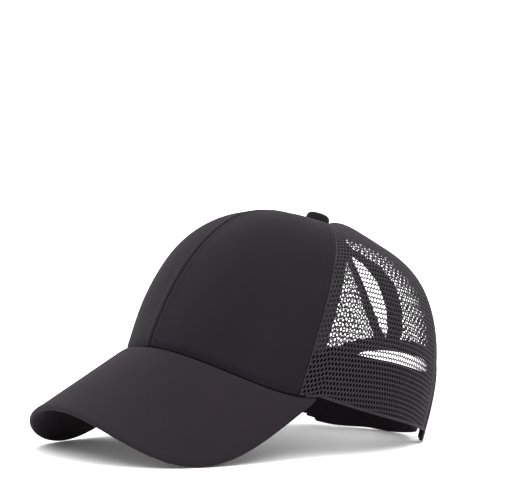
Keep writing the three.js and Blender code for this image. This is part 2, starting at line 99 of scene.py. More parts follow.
def share(name, value, description):
    return bpy.props.FloatProperty(
        name=name, description=description, default=value, subtype="FACTOR", soft_max=1
    )


def exponent(name, value, description):
    return bpy.props.FloatProperty(name=name, description=description, default=value)


def colour(name, value, description):
    return bpy.props.FloatVectorProperty(
        name=name, description=description, default=value, size=3, min=0, max=1, subtype="COLOR"
    )


class CrownSizes(bpy.types.PropertyGroup):
    half_length: size("Half length", 93.7, "Rim centre to the front of the rim")
    half_width: size("Half width", 84.5, "Rim centre to the side of the rim")
    height: size("Height", 98.4, "Rim plane to the outside of the crown's top")
    top_forward: size("Top forward", 7.4, "How far the top lies in front of the rim's centre")
    front_seam: turn("Front seam", 65.2, "Azimuth of the seam between front and side panel")
    rear_seam: turn("Rear seam", 125.4, "Azimuth of the seam between side and back panel")
    rear_turn: turn("Rear seam turn", 5.6, "How far that seam has run back at the rim")
    cloth: size("Cloth", 1.8, "Thickness of the lined twill")
    turn_in: size("Turned-in edge", 1.1, "How far the twill turns in at the rim")
    hole: size("Button hole", 3.6, "Radius of the hole where the panels meet")
    groove: size("Groove", 1.3, "Depth by which cloth turns in at a seam")
    puff: size("Puff", 0.32, "How far cloth stands up beside a seam")


class VisorSizes(bpy.types.PropertyGroup):
    length: size("Length", 68.2, "Seam to front edge, along the middle")
    flare: size("Flare", 1.05, "How far the sides swell past the corners, when flat")
    thick: size("Thickness", 3, "Board and both layers of cloth")
    slope: turn("Slope", 48.4, "Fall of the middle line from the rim plane")
    bend: turn("Bend", 63.8, "How far the visor has turned down at its corners")
    tighten: share("Tighten", 0.1, "Share by which the bend tightens towards the front edge")
    square: exponent("Squareness", 3, "Exponent of the outline: 2 is an ellipse")
    corner: turn("Corner", 72.2, "Azimuth where the visor leaves the rim")
    corner_dip: size("Corner dip", 8.75, "How far the rim hangs below the rim plane there")
    rim_climb: exponent("Rim climb", 2.1, "Exponent: how soon the rim climbs behind a corner")
    blunt: share("Blunt ends", 0.985, "Share of the outline that is kept")
    tuck: size("Tuck", 2, "Depth of the groove where the visor meets the crown")


class BackSizes(bpy.types.PropertyGroup):
    arch_half_width: size("Arch half width", 57, "Outside of the arch's binding, at the rim")
    arch_height: size("Arch height", 53, "Outside of the arch's binding, above the rim")
    arch_square: exponent("Arch squareness", 3.6, "Exponent of the arch's outline")
    arch_binding: size("Arch binding", 7, "Width of the tape round the arch")
    arch_foot: size("Arch foot", 5.8, "How far that tape's left end hangs below the rim")
    far_foot: share("Far foot", 0.35, "Share of that by which its right end hangs")
    slit_stop: size("Slit stop", 6.2, "Crown's top down to the slit's upper end")
    slit_width: size("Slit width", 16, "Widest opening of the slit")
    slit_binding: size("Slit binding", 10, "Width of the tape along each side of the slit")
    binding_thick: size("Binding thickness", 2.4, "Folded tape over the net")
    ply: size("Tape ply", 0.7, "One layer of the folded tape")


class NetSizes(bpy.types.PropertyGroup):
    hole_pitch: size("Hole pitch", 2.05, "Spacing of the holes along a row")
    row_pitch: size("Row pitch", 2.75, "Spacing of the rows")
    hole_width: size("Hole width", 1.5, "Width of a hole along its row")
    hole_height: size("Hole height", 2.18, "Height of a hole across its row")
    zigzag: size("Zigzag", 0.3, "How far the strand between two rows wanders")
    strand: size("Strand", 0.78, "Thickness of the net")
    depth: size("Depth", 0.5, "Outside of the crown to the middle of the net")
    drift: size("Drift", 0.3, "How far the stretched net strays from even rows")
    sag: size("Sag", 4.2, "How far a side panel's row sinks, 44 mm from its highest place")
    sag_from: turn("Sag from", 108.5, "Azimuth where a side panel's rows are highest")
    puff: size("Puff", 2.6, "How far a side panel stands up near the button")
    roll: size("Roll", 0.55, "Radius of the net's rolled edge at a seam")
    lean: turn("Lean", 33, "Rise of the rows of the back panels away from the slit")


class TrimSizes(bpy.types.PropertyGroup):
    tape_width: size("Seam tape", 15, "Width of the tape behind a seam")
    rear_tape_width: size("Rear tape", 12, "Width of the tape above the slit")
    tape: size("Tape thickness", 0.7, "Thickness of a seam tape")
    band_height: size("Sweatband height", 30, "Height of the sweatband")
    band_rise: size("Sweatband rise", 2.4, "How much higher it reaches behind the ears")
    band: size("Sweatband thickness", 1.2, "Thickness of the sweatband")
    band_depth: size("Sweatband depth", 2.3, "Outside of the crown to the sweatband's upper part")
    band_reach: turn("Sweatband reach", 144.6, "Azimuth where the sweatband ends")
    band_short: turn("Sweatband right end", 139.5, "The same on the wearer's right")
    band_tab: size("Sweatband tab", 4, "How far its left end hangs below the rim")
    strap_height: size("Strap height", 24, "Height of the closure straps")
    strap_sag: size("Strap sag", 3.6, "How far the right strap hangs where it leaves the rim")
    strap: size("Strap thickness", 1.6, "Thickness of a closure strap")
    strap_depth: size("Strap depth", 4.4, "Outside of the crown to the outer strap")
    strap_anchor: turn("Strap anchor", 52, "Middle of the back to a strap's sewn end")
    strap_overlap: turn("Strap overlap", 21, "How far each strap reaches past the middle")
    button: size("Button radius", 7.2, "Radius of the top button")
    button_height: size("Button height", 7.2, "Height of the top button")


class Colours(bpy.types.PropertyGroup):
    twill: colour("Twill", (0.0086, 0.0066, 0.0090), "Front panels and button")
    visor: colour("Visor", (0.0116, 0.0090, 0.0110), "Cloth of the visor")
    net: colour("Net", (0.0165, 0.0145, 0.0170), "Yarn of the net")
    tape: colour("Tape", (0.0170, 0.0140, 0.0165), "Bindings and seam tapes")
    band: colour("Sweatband", (0.0036, 0.0031, 0.0040), "Cotton of the sweatband")
    strap: colour("Strap", (0.0100, 0.0085, 0.0100), "Hook-and-loop straps")
    thread: colour("Thread", (0.0130, 0.0110, 0.0130), "Sewing thread")
    floor: colour("Floor", (0.93, 0.93, 0.93), "Floor of the studio")


SIZE_GROUPS = {
    "cap_crown": CrownSizes,
    "cap_visor": VisorSizes,
    "cap_back": BackSizes,
    "cap_net": NetSizes,
    "cap_trim": TrimSizes,
    "cap_colours": Colours,
}


# Shape of the cap


def mix(a, b, amount):
    return a + (b - a) * amount


def ease(value, low=0.0, high=1.0):
    """Smooth step from 0 at low to 1 at high."""
    x = np.clip((value - low) / (high - low), 0, 1)
    return x * x * (3 - 2 * x)


def hump(distance, width):
    return np.exp(-((distance / width) ** 2))


def from_table(table, key, at, column):
    """Smooth step through the rows of a table whose first column rises."""
    keys, values = np.array(table[key], float), np.array(table[column], float)
    k = np.clip(np.searchsorted(keys, at), 1, len(keys) - 1)
    part = np.clip((at - keys[k - 1]) / (keys[k] - keys[k - 1]), 0, 1)
    return mix(values[k - 1], values[k], part * part * (3 - 2 * part))


class CapForm:
    """The cap's surfaces, in a frame of their own: the front towards -Y, the wearer's left at +X
    and Z = 0 in the rim's plane. rest() turns points into the frame that the cap rests in."""

    ROUNDS = 12
    STEP = 1e-3

    def __init__(self, scene):
        self.crown, self.visor = scene.cap_crown, scene.cap_visor
        self.back, self.trim = scene.cap_back, scene.cap_trim
        self.slope, self.corner = self.visor.slope, self.visor.corner
        self.slit_top = self.crown.height - self.back.slit_stop
        radius = self.crown.half_width * math.sin(self.corner) / math.sin(self.visor.bend)
        drop = radius * (1 - math.cos(self.visor.bend))
        out = self.out_at(drop, self.crown.half_length * (1 - math.cos(self.corner)))
        self.seam_bend = radius / (1 - self.visor.tighten * out / self.visor.length)
        self.seam_lift = self.seam_on_visor(np.array(self.corner))[2] - self.visor.corner_dip

    def rest(self, points):
        """From the cap's own frame to the frame that it rests in."""
        x, y, z = points[..., 0], points[..., 1], points[..., 2]
        c, s = math.cos(PITCH), math.sin(PITCH)
        return np.stack((x, y * c + z * s, z * c - y * s), -1) + RIM_CENTRE

    def front_seam_at(self, angle):
        return self.crown.front_seam + 0 * angle

    def rear_seam_at(self, angle):
        """Azimuth of the rear seam, which runs further back below the arch's top."""
        return self.crown.rear_seam + self.crown.rear_turn * (1 - ease(angle, 0.1, 0.5))

    def back_seam_at(self, angle):
        return BACK + 0 * angle

    # Visor

    def out_at(self, drop, back):
        return (drop * math.sin(self.slope) - back) / math.cos(self.slope)

    def bend_radius(self, out):
        return self.seam_bend * (1 - self.visor.tighten * out / self.visor.length)

    def seam_on_visor(self, azimuth):
        """Flat coordinates (side, out) and fall of the visor under a point of the rim."""
        x = self.crown.half_width * np.sin(azimuth)
        back = self.crown.half_length * (1 - np.cos(azimuth))
        out = -back
        for _ in range(self.ROUNDS):
            radius = self.bend_radius(out)
            drop = radius - np.sqrt(radius * radius - x * x)
            out = self.out_at(drop, back)
        radius = self.bend_radius(out)
        fall = out * math.sin(self.slope) + drop * math.cos(self.slope)
        return radius * np.arcsin(x / radius), out, fall

    def visor_point(self, side, out, offset):
        radius = self.bend_radius(out)
        angle = side / radius
        up = (radius + offset) * np.cos(angle) - radius
        y = -self.crown.half_length - out * math.cos(self.slope) - up * math.sin(self.slope)
        z = self.seam_lift - out * math.sin(self.slope) + up * math.cos(self.slope)
        return np.stack(((radius + offset) * np.sin(angle), y, z), -1)

    def visor_outline(self, part):
        """Flat outline: a squared ellipse from corner to corner, through the front."""
        side, out, _ = self.seam_on_visor(np.array(self.corner))
        n, length = self.visor.square, self.visor.length
        spread = side + self.visor.flare
        narrow = (1 - (side / spread) ** n) ** (1 / n)
        middle = (out + narrow * length) / (1 + narrow)
        end = math.pi - np.arctan2((side / spread) ** (n / 2), narrow ** (n / 2))
        angle = part * end

        def power(value):
            return np.sign(value) * np.abs(value) ** (2 / n)

        return spread * power(np.sin(angle)), middle + (length - middle) * power(np.cos(angle))

    # Crown

    def rim_height(self, azimuth):
        a = np.abs(np.arctan2(np.sin(azimuth), np.cos(azimuth)))
        front = self.seam_lift - self.seam_on_visor(np.minimum(a, self.corner))[2]
        turned = math.pi * (a - self.corner) / (math.pi - self.corner)
        rear = -self.visor.corner_dip * ((1 + np.cos(turned)) / 2) ** self.visor.rim_climb
        return np.where(a < self.corner, front, rear)

    def exponents(self, azimuth):
        degrees = np.degrees(np.abs(np.arctan2(np.sin(azimuth), np.cos(azimuth))))
        return [from_table(PROFILES, "azimuth", degrees, name) for name in ("upper", "lower")]

    def girth_at_rise(self, azimuth, rise):
        upper, lower = self.exponents(azimuth)
        return np.maximum(1 - np.clip(rise, 0, 1) ** upper, 0) ** (1 / lower)

    def profile_at(self, azimuth, angle):
        """Where the ray at an angle above the rim plane meets the profile."""
        upper, lower = self.exponents(azimuth)
        cos, sin = np.maximum(np.cos(angle), 1e-9), np.maximum(np.sin(angle), 1e-9)
        k = np.ones_like(cos)
        for _ in range(self.ROUNDS):
            g, r = (k * cos) ** lower, (k * sin) ** upper
            k = k - (g + r - 1) * k / (lower * g + upper * r)
        return k * cos, k * sin

    def on_crown(self, azimuth, angle):
        girth, rise = self.profile_at(azimuth, angle)
        x = self.crown.half_width * np.sin(azimuth) * girth
        y = -self.crown.half_length * np.cos(azimuth) * girth
        y = y - self.crown.top_forward * (1 - girth)
        z = mix(self.rim_height(azimuth), self.crown.height, rise)
        return np.stack((x, y, z), -1)

    def crown_point(self, azimuth, angle, offset=0.0):
        azimuth, angle, offset = np.broadcast_arrays(
            np.asarray(azimuth, float), np.asarray(angle, float), np.asarray(offset, float)
        )
        step = self.STEP
        angle = np.maximum(angle, step)
        along = self.on_crown(azimuth + step, angle) - self.on_crown(azimuth - step, angle)
        up = self.on_crown(azimuth, angle + step) - self.on_crown(azimuth, angle - step)
        normal = np.cross(along, up)
        normal /= np.maximum(np.linalg.norm(normal, axis=-1, keepdims=True), 1e-12)
        return self.on_crown(azimuth, angle) + normal * offset[..., None]

    def angle_at_rise(self, azimuth, rise):
        return np.arctan2(rise, self.girth_at_rise(azimuth, rise))

    def angle_at_height(self, azimuth, height):
        rim = self.rim_height(azimuth)
        return self.angle_at_rise(azimuth, (height - rim) / (self.crown.height - rim))

    def angle_at_radius(self, azimuth, radius):
        forward = (self.crown.half_length - self.crown.top_forward) * np.cos(azimuth)
        reach = np.hypot(self.crown.half_width * np.sin(azimuth), forward)
        upper, lower = self.exponents(azimuth)
        girth = radius / reach
        return np.arctan2((1 - girth**lower) ** (1 / upper), girth)

    def band_top(self, azimuth):
        """Height of the sweatband over the rim."""
        return self.trim.band_height + self.trim.band_rise * ease(np.degrees(np.abs(azimuth)), 78, 104)

    def metric(self, azimuth, angle):
        """Sideways length for each radian of azimuth."""
        a = self.on_crown(azimuth - self.STEP, angle)
        b = self.on_crown(azimuth + self.STEP, angle)
        return np.linalg.norm(b - a, axis=-1) / (2 * self.STEP)

    def back_place(self, x, height):
        """Azimuth and angle of a point of the back, from its distance from the middle."""
        azimuth = BACK - x / self.crown.half_width
        for _ in range(self.ROUNDS):
            rim = self.rim_height(azimuth)
            girth = self.girth_at_rise(azimuth, (height - rim) / (self.crown.height - rim))
            reach = np.maximum(self.crown.half_width * girth, 1e-6)
            azimuth = BACK - np.arcsin(np.clip(x / reach, -1, 1))
        return azimuth, self.angle_at_height(azimuth, height)

    # Arch and slit

    def slit_at(self, height):
        """Half opening of the slit, and the outside of its binding."""
        up = (height - self.back.arch_height) / (self.slit_top - self.back.arch_height)
        half = self.back.slit_width / 2 * from_table(SLIT, "up", up, "open")
        return half, half + self.back.slit_binding * from_table(SLIT, "up", up, "tape")

    def arch_outline(self, angle, inset):
        n = self.back.arch_square
        cos, sin = np.cos(angle), np.sin(angle)
        x = (self.back.arch_half_width - inset) * np.sign(cos) * np.abs(cos) ** (2 / n)
        return x, (self.back.arch_height - inset) * np.abs(sin) ** (2 / n)

    def arch_over(self, x):
        n = self.back.arch_square
        past = np.abs(x / self.back.arch_half_width) ** n
        return self.back.arch_height * np.maximum(1 - past, 0) ** (1 / n)

    def slit_binding_at(self, across, up):
        """Place on a slit's binding: across from the opening outwards, and up from the arch."""
        x, height = 0 * up, self.back.arch_height + 0 * up
        for _ in range(self.ROUNDS):
            inside, outside = self.slit_at(height)
            x = mix(inside, outside, across)
            height = mix(self.arch_over(x), self.slit_top, up)
        return x, height


# Making meshes


def edit_all(*operations):
    """Runs edit operators on all of the active piece."""
    bpy.ops.object.mode_set(mode="EDIT")
    bpy.ops.mesh.select_all(action="SELECT")
    for operation, settings in operations:
        operation(**settings)
    bpy.ops.object.mode_set(mode="OBJECT")


def activate(*pieces):
    bpy.ops.object.select_all(action="DESELECT")
    for piece in pieces:
        piece.select_set(True)
    bpy.context.view_layer.objects.active = pieces[0]


def apply_modifier(piece, kind, **settings):
    activate(piece)
    modifier = piece.modifiers.new(kind.title(), kind)
    for name, value in settings.items():
        setattr(modifier, name, value)
    bpy.ops.object.modifier_apply(modifier=modifier.name)


def primitive(kind, **settings):
    """Adds a primitive, with nothing else selected."""
    bpy.ops.object.select_all(action="DESELECT")
    getattr(bpy.ops.mesh, f"primitive_{kind}_add")(**settings)
    return bpy.context.object


def new_grid(name, columns, rows):
    """A flat grid one unit wide and long, with its corner at the origin."""
    piece = primitive("grid", x_subdivisions=columns, y_subdivisions=rows, size=1)
    piece.name = piece.data.name = name
    put_points(piece, get_points(piece) + (0.5, 0.5, 0))
    return piece


def get_points(piece):
    points = np.zeros(len(piece.data.vertices) * 3)
    piece.data.vertices.foreach_get("co", points)
    return points.reshape(-1, 3)


def put_points(piece, points):
    piece.data.vertices.foreach_set("co", np.ascontiguousarray(points, float).ravel())
    piece.data.update()


def put_cloth(piece, along, up):
    """Keeps each point's place on the cloth, in metres, for weaves that follow the surface."""
    place = piece.data.attributes.new("cloth", "FLOAT_VECTOR", "POINT")
    values = np.zeros((len(piece.data.vertices), 3))
    values[:, 0], values[:, 1] = along, up
    place.data.foreach_set("vector", values.ravel())


def close_up(piece):
    """Welds meeting edges, closes open ends and turns the faces out."""
    activate(piece)
    edit_all(
        (bpy.ops.mesh.remove_doubles, {"threshold": WELD}),
        (bpy.ops.mesh.fill_holes, {"sides": 0}),
        (bpy.ops.mesh.normals_make_consistent, {"inside": False}),
    )


def turn_out(piece):
    """Turns the faces of a closed piece outwards."""
    activate(piece)
    edit_all((bpy.ops.mesh.normals_make_consistent, {"inside": False}))


def smooth(piece, degrees=50):
    activate(piece)
    bpy.ops.object.shade_smooth_by_angle(angle=math.radians(degrees))


def mirrored(piece, name):
    """A copy on the wearer's right of a piece on the left."""
    copy = piece.copy()
    copy.data = piece.data.copy()
    copy.name = copy.data.name = name
    bpy.context.collection.objects.link(copy)
    put_points(copy, get_points(copy) * (-1, 1, 1))
    copy.data.flip_normals()
    return copy


def joined(*pieces):
    activate(*pieces)
    bpy.ops.object.join()
    return pieces[0]


def put_on(piece, material, slot, *nodes):
    """Gives a finished piece its material and its place on the cap."""
    piece.data.materials.clear()
    piece.data.materials.append(material)
    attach(piece, "root")
    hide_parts(*nodes)


def put_pair(left, material, slot, name):
    put_on(left, material, slot, f"{name}_left")
    right = mirrored(left, left.name.removesuffix("left") + "right")
    put_on(right, material, slot, f"{name}_right")


def ripple(points, scale, seed):
    """Soft unevenness from -1 to 1, the same on each run."""
    shift = Vector((seed, 0.37 * seed, -0.61 * seed))
    return np.array([noise.noise(Vector(p) / scale + shift) for p in points])


def laid_grid(name, columns, rows, place):
    """A grid laid on a surface. place gives points and cloth coordinates from u and v."""
    piece = new_grid(name, columns, rows)
    u, v, _ = get_points(piece).T
    points, along, up = place(u, v)
    put_points(piece, points)
    put_cloth(piece, along, up)
    return piece


def sheet(name, columns, rows, place, thick, bevel):
    """A cloth wall whose outside is laid by place, with rounded edges."""
    piece = laid_grid(name, columns, rows, place)
    apply_modifier(piece, "SOLIDIFY", thickness=thick, offset=-1, use_even_offset=False)
    apply_modifier(piece, "BEVEL", width=bevel, segments=2, angle_limit=math.radians(60))
    smooth(piece)
    return piece


def folded_tape(name, columns, rows, place, thick):
    """A tape whose middle layer is laid by place, in a fold that goes there and back."""
    piece = laid_grid(name, columns, rows, place)
    apply_modifier(piece, "SOLIDIFY", thickness=thick, offset=0)
    turn_out(piece)
    smooth(piece)
    return piece


def sleeve(name, around, along, place):
    """A closed body swept along a line. u is the turn round its section, and v the place along it."""
    piece = laid_grid(name, around, along, lambda u, v: place(u % 1.0, v))
    close_up(piece)
    smooth(piece)
    return piece


# Materials


class Num:
    """A number that changes over a surface. Arithmetic on it adds Math nodes."""

    def __init__(self, nodes, socket):
        self.nodes, self.socket = nodes, socket

    def math(self, operation, *others):
        return Num(self.nodes, self.nodes.node("ShaderNodeMath", {"operation": operation}, self, *others))

    def __add__(self, other):
        return self.math("ADD", other)

    def __mul__(self, other):
        return self.math("MULTIPLY", other)

    def __sub__(self, other):
        return self.math("SUBTRACT", other)

    def __neg__(self):
        return self * -1

    def __rsub__(self, other):
        return -self + other

    def __abs__(self):
        return self.math("ABSOLUTE")

    def wave(self, length):
        """Sine of a length, from -1 to 1."""
        return (self * (2 * math.pi / length)).math("SINE")

    def between(self, low, high):
        """Smooth step from 0 at low to 1 at high."""
        settings = {"interpolation_type": "SMOOTHSTEP"}
        return Num(self.nodes, self.nodes.node("ShaderNodeMapRange", settings, self, low, high))

    __radd__ = __add__
    __rmul__ = __mul__


class Nodes:
    """The nodes of a material or of the studio's air."""

    def __init__(self, owner):
        owner.use_nodes = True
        self.tree = owner.node_tree

    def node(self, kind, settings=(), *values, output=0, **named):
        """Adds a node: settings first, then values or links of its inputs. Gives an output."""
        node = self.tree.nodes.new(kind)
        for name, value in dict(settings).items():
            setattr(node, name, value)
        inputs = [socket for socket in node.inputs if socket.enabled]
        for socket, value in [*zip(inputs, values), *((node.inputs[k], v) for k, v in named.items())]:
            self.feed(socket, value)
        return node.outputs[output]

    def feed(self, socket, value):
        """Links a socket to another node's output, or sets its value."""
        value = value.socket if isinstance(value, Num) else value
        if isinstance(value, bpy.types.NodeSocket):
            self.tree.links.new(value, socket)
        else:
            socket.default_value = value


class Finish(Nodes):
    """One material, built round its Principled shader."""

    def __init__(self, name, roughness, sheen=0.0, tint=(1, 1, 1), specular=0.5):
        self.material = bpy.data.materials.new(name)
        super().__init__(self.material)
        self.shader = self.tree.nodes["Principled BSDF"].inputs
        self.shader["Roughness"].default_value = roughness
        self.shader["Specular IOR Level"].default_value = specular
        self.shader["Sheen Weight"].default_value = sheen
        self.shader["Sheen Roughness"].default_value = 0.45
        self.shader["Sheen Tint"].default_value = (*tint, 1)

    def cloth(self):
        """Place on the cloth, in metres: along and up."""
        place = self.node("ShaderNodeAttribute", {"attribute_name": "cloth"}, output="Vector")
        split = self.node("ShaderNodeSeparateXYZ", {}, place).node.outputs
        return Num(self, split["X"]), Num(self, split["Y"])

    def cloud(self, length, detail=2.0):
        """Soft noise from 0 to 1 over patches of a length."""
        place = self.node("ShaderNodeTexCoord", output="Object")
        values = {"Vector": place, "Scale": 1 / length, "Detail": detail}
        return Num(self, self.node("ShaderNodeTexNoise", {"noise_dimensions": "3D"}, **values))

    def paint(self, amount, base, dark, light):
        """Colour between a darker and a lighter tone of the base, by a number from 0 to 1."""
        tones = [(*(min(1.0, channel * tone) for channel in base), 1) for tone in (dark, light)]
        mixed = self.node("ShaderNodeMix", {"data_type": "RGBA"}, amount, *tones, output=2)
        self.feed(self.shader["Base Color"], mixed)

    def rough(self, amount):
        self.feed(self.shader["Roughness"], amount)

    def bump(self, height, depth, strength=1.0):
        """Relief of a depth in metres, from a height of 0 to 1."""
        values = {"Strength": strength, "Distance": depth, "Height": height}
        self.feed(self.shader["Normal"], self.node("ShaderNodeBump", {}, **values))


def twill_cloth(name, base):
    """Fine diagonal twill with slightly uneven dye and a soft sheen."""
    pitch = 0.55 * MM
    finish = Finish(name, 0.78, sheen=0.03, tint=(0.86, 0.82, 0.92), specular=0.06)
    along, up = finish.cloth()
    slub = finish.cloud(2.5 * MM)
    line = (along + up * 0.9 + slub * (0.25 * MM)).wave(pitch) * 0.5 + 0.5
    thread = (along - up * 1.1).wave(pitch * 0.53) * 0.5 + 0.5
    weave = line * 0.7 + thread * 0.3
    dye = finish.cloud(38 * MM, 3.0)
    fleck = finish.cloud(0.9 * MM, 1.0)
    tone = (weave * 0.3 + dye * 0.5 + fleck * 0.2).between(0.15, 0.85)
    finish.paint(tone, base, 0.68, 1.38)
    finish.rough(0.72 + dye * 0.12)
    finish.bump(weave + fleck * 0.35, 0.07 * MM, 0.8)
    return finish.material


def net_yarn(base):
    """Knitted yarn: fine twisted filaments that catch light on the strands' backs."""
    finish = Finish("net_yarn", 0.55, sheen=0.04, tint=(0.9, 0.88, 0.95), specular=0.16)
    along, up = finish.cloth()
    twist = (along * 1.3 + up).wave(0.32 * MM) * 0.5 + 0.5
    fuzz = finish.cloud(0.7 * MM)
    finish.paint((twist * 0.5 + fuzz * 0.5).between(0.1, 0.9), base, 0.75, 1.35)
    finish.rough(0.45 + fuzz * 0.25)
    finish.bump(twist * 0.6 + fuzz * 0.4, 0.05 * MM)
    return finish.material


def woven_tape(name, base, rib=0.8 * MM):
    """Plain woven tape: fine ribs across it and a softer thread along it."""
    roughness = 0.72
    finish = Finish(name, roughness, sheen=0.03, tint=(0.9, 0.88, 0.92), specular=0.1)
    along, up = finish.cloth()
    fuzz = finish.cloud(1.3 * MM)
    ribs = (up + fuzz * (0.1 * MM)).wave(rib) * 0.5 + 0.5
    threads = along.wave(0.45 * MM) * 0.5 + 0.5
    weave = ribs * 0.65 + threads * 0.35
    dye = finish.cloud(22 * MM)
    tone = (weave * 0.35 + dye * 0.4 + fuzz * 0.25).between(0.15, 0.85)
    finish.paint(tone, base, 0.78, 1.25)
    finish.rough(roughness - 0.08 + fuzz * 0.16)
    finish.bump(weave, 0.09 * MM, 0.8)
    return finish.material


def brushed_cotton(name, base):
    """Dull plain weave with a fine nap."""
    finish = Finish(name, 0.9, sheen=0.01, specular=0.05)
    along, up = finish.cloth()
    nap = finish.cloud(0.5 * MM, 3.0)
    warp = along.wave(0.6 * MM) * 0.5 + 0.5
    weft = up.wave(0.6 * MM) * 0.5 + 0.5
    weave = abs(warp - weft)
    finish.paint((nap * 0.6 + weave * 0.4).between(0.2, 0.8), base, 0.75, 1.3)
    finish.rough(0.82 + nap * 0.14)
    finish.bump(weave * 0.6 + nap * 0.4, 0.08 * MM)
    return finish.material


def loop_strap(base):
    """Hook-and-loop strap: a nap of tiny loops over a woven ground."""
    finish = Finish("loop_strap", 0.85, sheen=0.02, specular=0.06)
    _, up = finish.cloth()
    loops = finish.cloud(0.45 * MM, 4.0)
    ground = up.wave(1.1 * MM) * 0.5 + 0.5
    finish.paint((loops * 0.8 + ground * 0.2).between(0.25, 0.75), base, 0.6, 1.5)
    finish.rough(0.75 + loops * 0.2)
    finish.bump(loops * 0.85 + ground * 0.15, 0.2 * MM)
    return finish.material


def sewing_thread(base):
    """Twisted thread with a slight gloss."""
    finish = Finish("sewing_thread", 0.5, specular=0.2)
    strand = finish.cloud(0.3 * MM)
    finish.paint(strand.between(0.2, 0.8), base, 0.8, 1.5)
    finish.rough(0.4 + strand * 0.2)
    finish.bump(strand, 0.04 * MM)
    return finish.material


def studio_floor(base):
    """Smooth pale floor with a faint unevenness."""
    finish = Finish("studio_floor", 0.8, specular=0.2)
    haze = finish.cloud(0.6)
    finish.paint(haze.between(0.2, 0.8), base, 0.985, 1.0)
    return finish.material


# Seams and stitches


def seam_relief(form, distance):
    """How far cloth stands out near a seam: it puffs up beside it and turns in at it."""
    crown = form.crown
    return crown.puff * hump(distance - 2.6 * MM, 2 * MM) - crown.groove * hump(distance, 0.75 * MM)


def stitch_row(name, points, normals):
    """Short raised stitches along a line of points, each a small closed bead of thread."""
    length, gap, radius = 2.4 * MM, 0.9 * MM, 0.26 * MM
    steps = np.linalg.norm(np.diff(points, axis=0), axis=1)
    reach = np.concatenate(([0], np.cumsum(steps)))
    count = max(1, int(reach[-1] / (length + gap)))
    bead = primitive("uv_sphere", segments=8, ring_count=5, radius=1)
    shape = get_points(bead)
    faces = [list(p.vertices) for p in bead.data.polygons]
    bpy.data.objects.remove(bead)
    every_point, every_face = [], []

    def at(place, values):
        return np.array([np.interp(place, reach, column) for column in values.T])

    for k in range(count):
        middle = (k + 0.5) * reach[-1] / count
        start, end = at(middle - length / 2, points), at(middle + length / 2, points)
        centre = (start + end) / 2
        along = (end - start) / np.linalg.norm(end - start)
        up = at(middle, normals)
        side = np.cross(up, along)
        side /= np.linalg.norm(side)
        up = np.cross(along, side)
        sag = (1 - shape[:, 2:3] ** 2) * 0.3
        local = shape[:, 2:3] * along * length / 2 + shape[:, 0:1] * side * radius
        local = local + (shape[:, 1:2] + sag) * up * radius
        every_face += [[i + len(shape) * k for i in face] for face in faces]
        every_point.append(centre + local)
    mesh = bpy.data.meshes.new(name)
    mesh.from_pydata(np.concatenate(every_point).tolist(), [], every_face)
    piece = bpy.data.objects.new(name, mesh)
    bpy.context.collection.objects.link(piece)
    turn_out(piece)
    smooth(piece, 80)
    return piece


def crown_row(form, name, azimuth, angle, offset):
    """Stitches along a line on the crown."""
    inner = form.rest(form.crown_point(azimuth, angle, offset))
    outer = form.rest(form.crown_point(azimuth, angle, offset + MM))
    return stitch_row(name, inner, (outer - inner) / MM)


# Cloth front panels


def front_panels(scene):
    form, crown = CapForm(scene), scene.cap_crown
    end = crown.front_seam
    lap, inset = 0.4 * MM, 0.1 * MM  # past the centre seam, and short of the side seam

    def place(u, v):
        # Columns crowd towards both seams, and rows towards the rim
        u = u - 0.86 * np.sin(2 * math.pi * u) / (2 * math.pi)
        v = v - 0.084 * np.sin(2 * math.pi * v) * (1 - ease(v, 0, 0.5))
        top = form.angle_at_radius(end * u, crown.hole)
        start = 0.8 * RIM_FOLD / crown.height
        angle = mix(start, top, v)
        metric = form.metric(0.5 * end + 0 * angle, angle)
        azimuth = mix(-lap / metric, end - inset / metric, u)
        from_centre = azimuth * form.metric(0 * angle, angle)
        from_side = (end - azimuth) * form.metric(end + 0 * angle, angle)
        up = angle * crown.height
        near = np.minimum(from_centre, from_side)
        pucker = hump(near, 7 * MM) * np.sin(up / (1.55 * MM) + 3 * np.sin(up / (17 * MM)))
        lift = seam_relief(form, from_centre) + seam_relief(form, from_side) * 0.9
        lift = lift - crown.turn_in * hump(v * 1.5 * crown.height, 2.2 * MM)
        lift = lift + 0.09 * MM * pucker
        flat = form.crown_point(azimuth, angle)
        soft = ripple(flat, 32 * MM, 4.2) * 0.45 * MM + ripple(flat, 70 * MM, 9.1) * 0.7 * MM
        lift = lift + soft * ease(near, 0, 12 * MM)
        points = form.rest(form.crown_point(azimuth, angle, lift))
        return points, (azimuth - end / 2) * metric, up

    left = sheet("front_cloth_left", 84, 96, place, crown.cloth - 0.2 * MM, bevel=0.3 * MM)
    material = twill_cloth("front_twill", scene.cap_colours.twill)
    put_pair(left, material, "front_twill", "front_panel")


# Net


SAG_SPAN = 44 * MM  # where a row has sunk by the net's sag
NET_RING = {  # one hole's surroundings as shares of the pitches, from the top anticlockwise
    "across": (0, -1 / 6, -1 / 3, -1 / 2, -1 / 2, -1 / 2, -1 / 3, -1 / 6),
    "up": (1, 1, 1, 1, 0, -1, -1, -1),
    "turn": (90, 106, 122, 143, 180, 217, 238, 254),
}


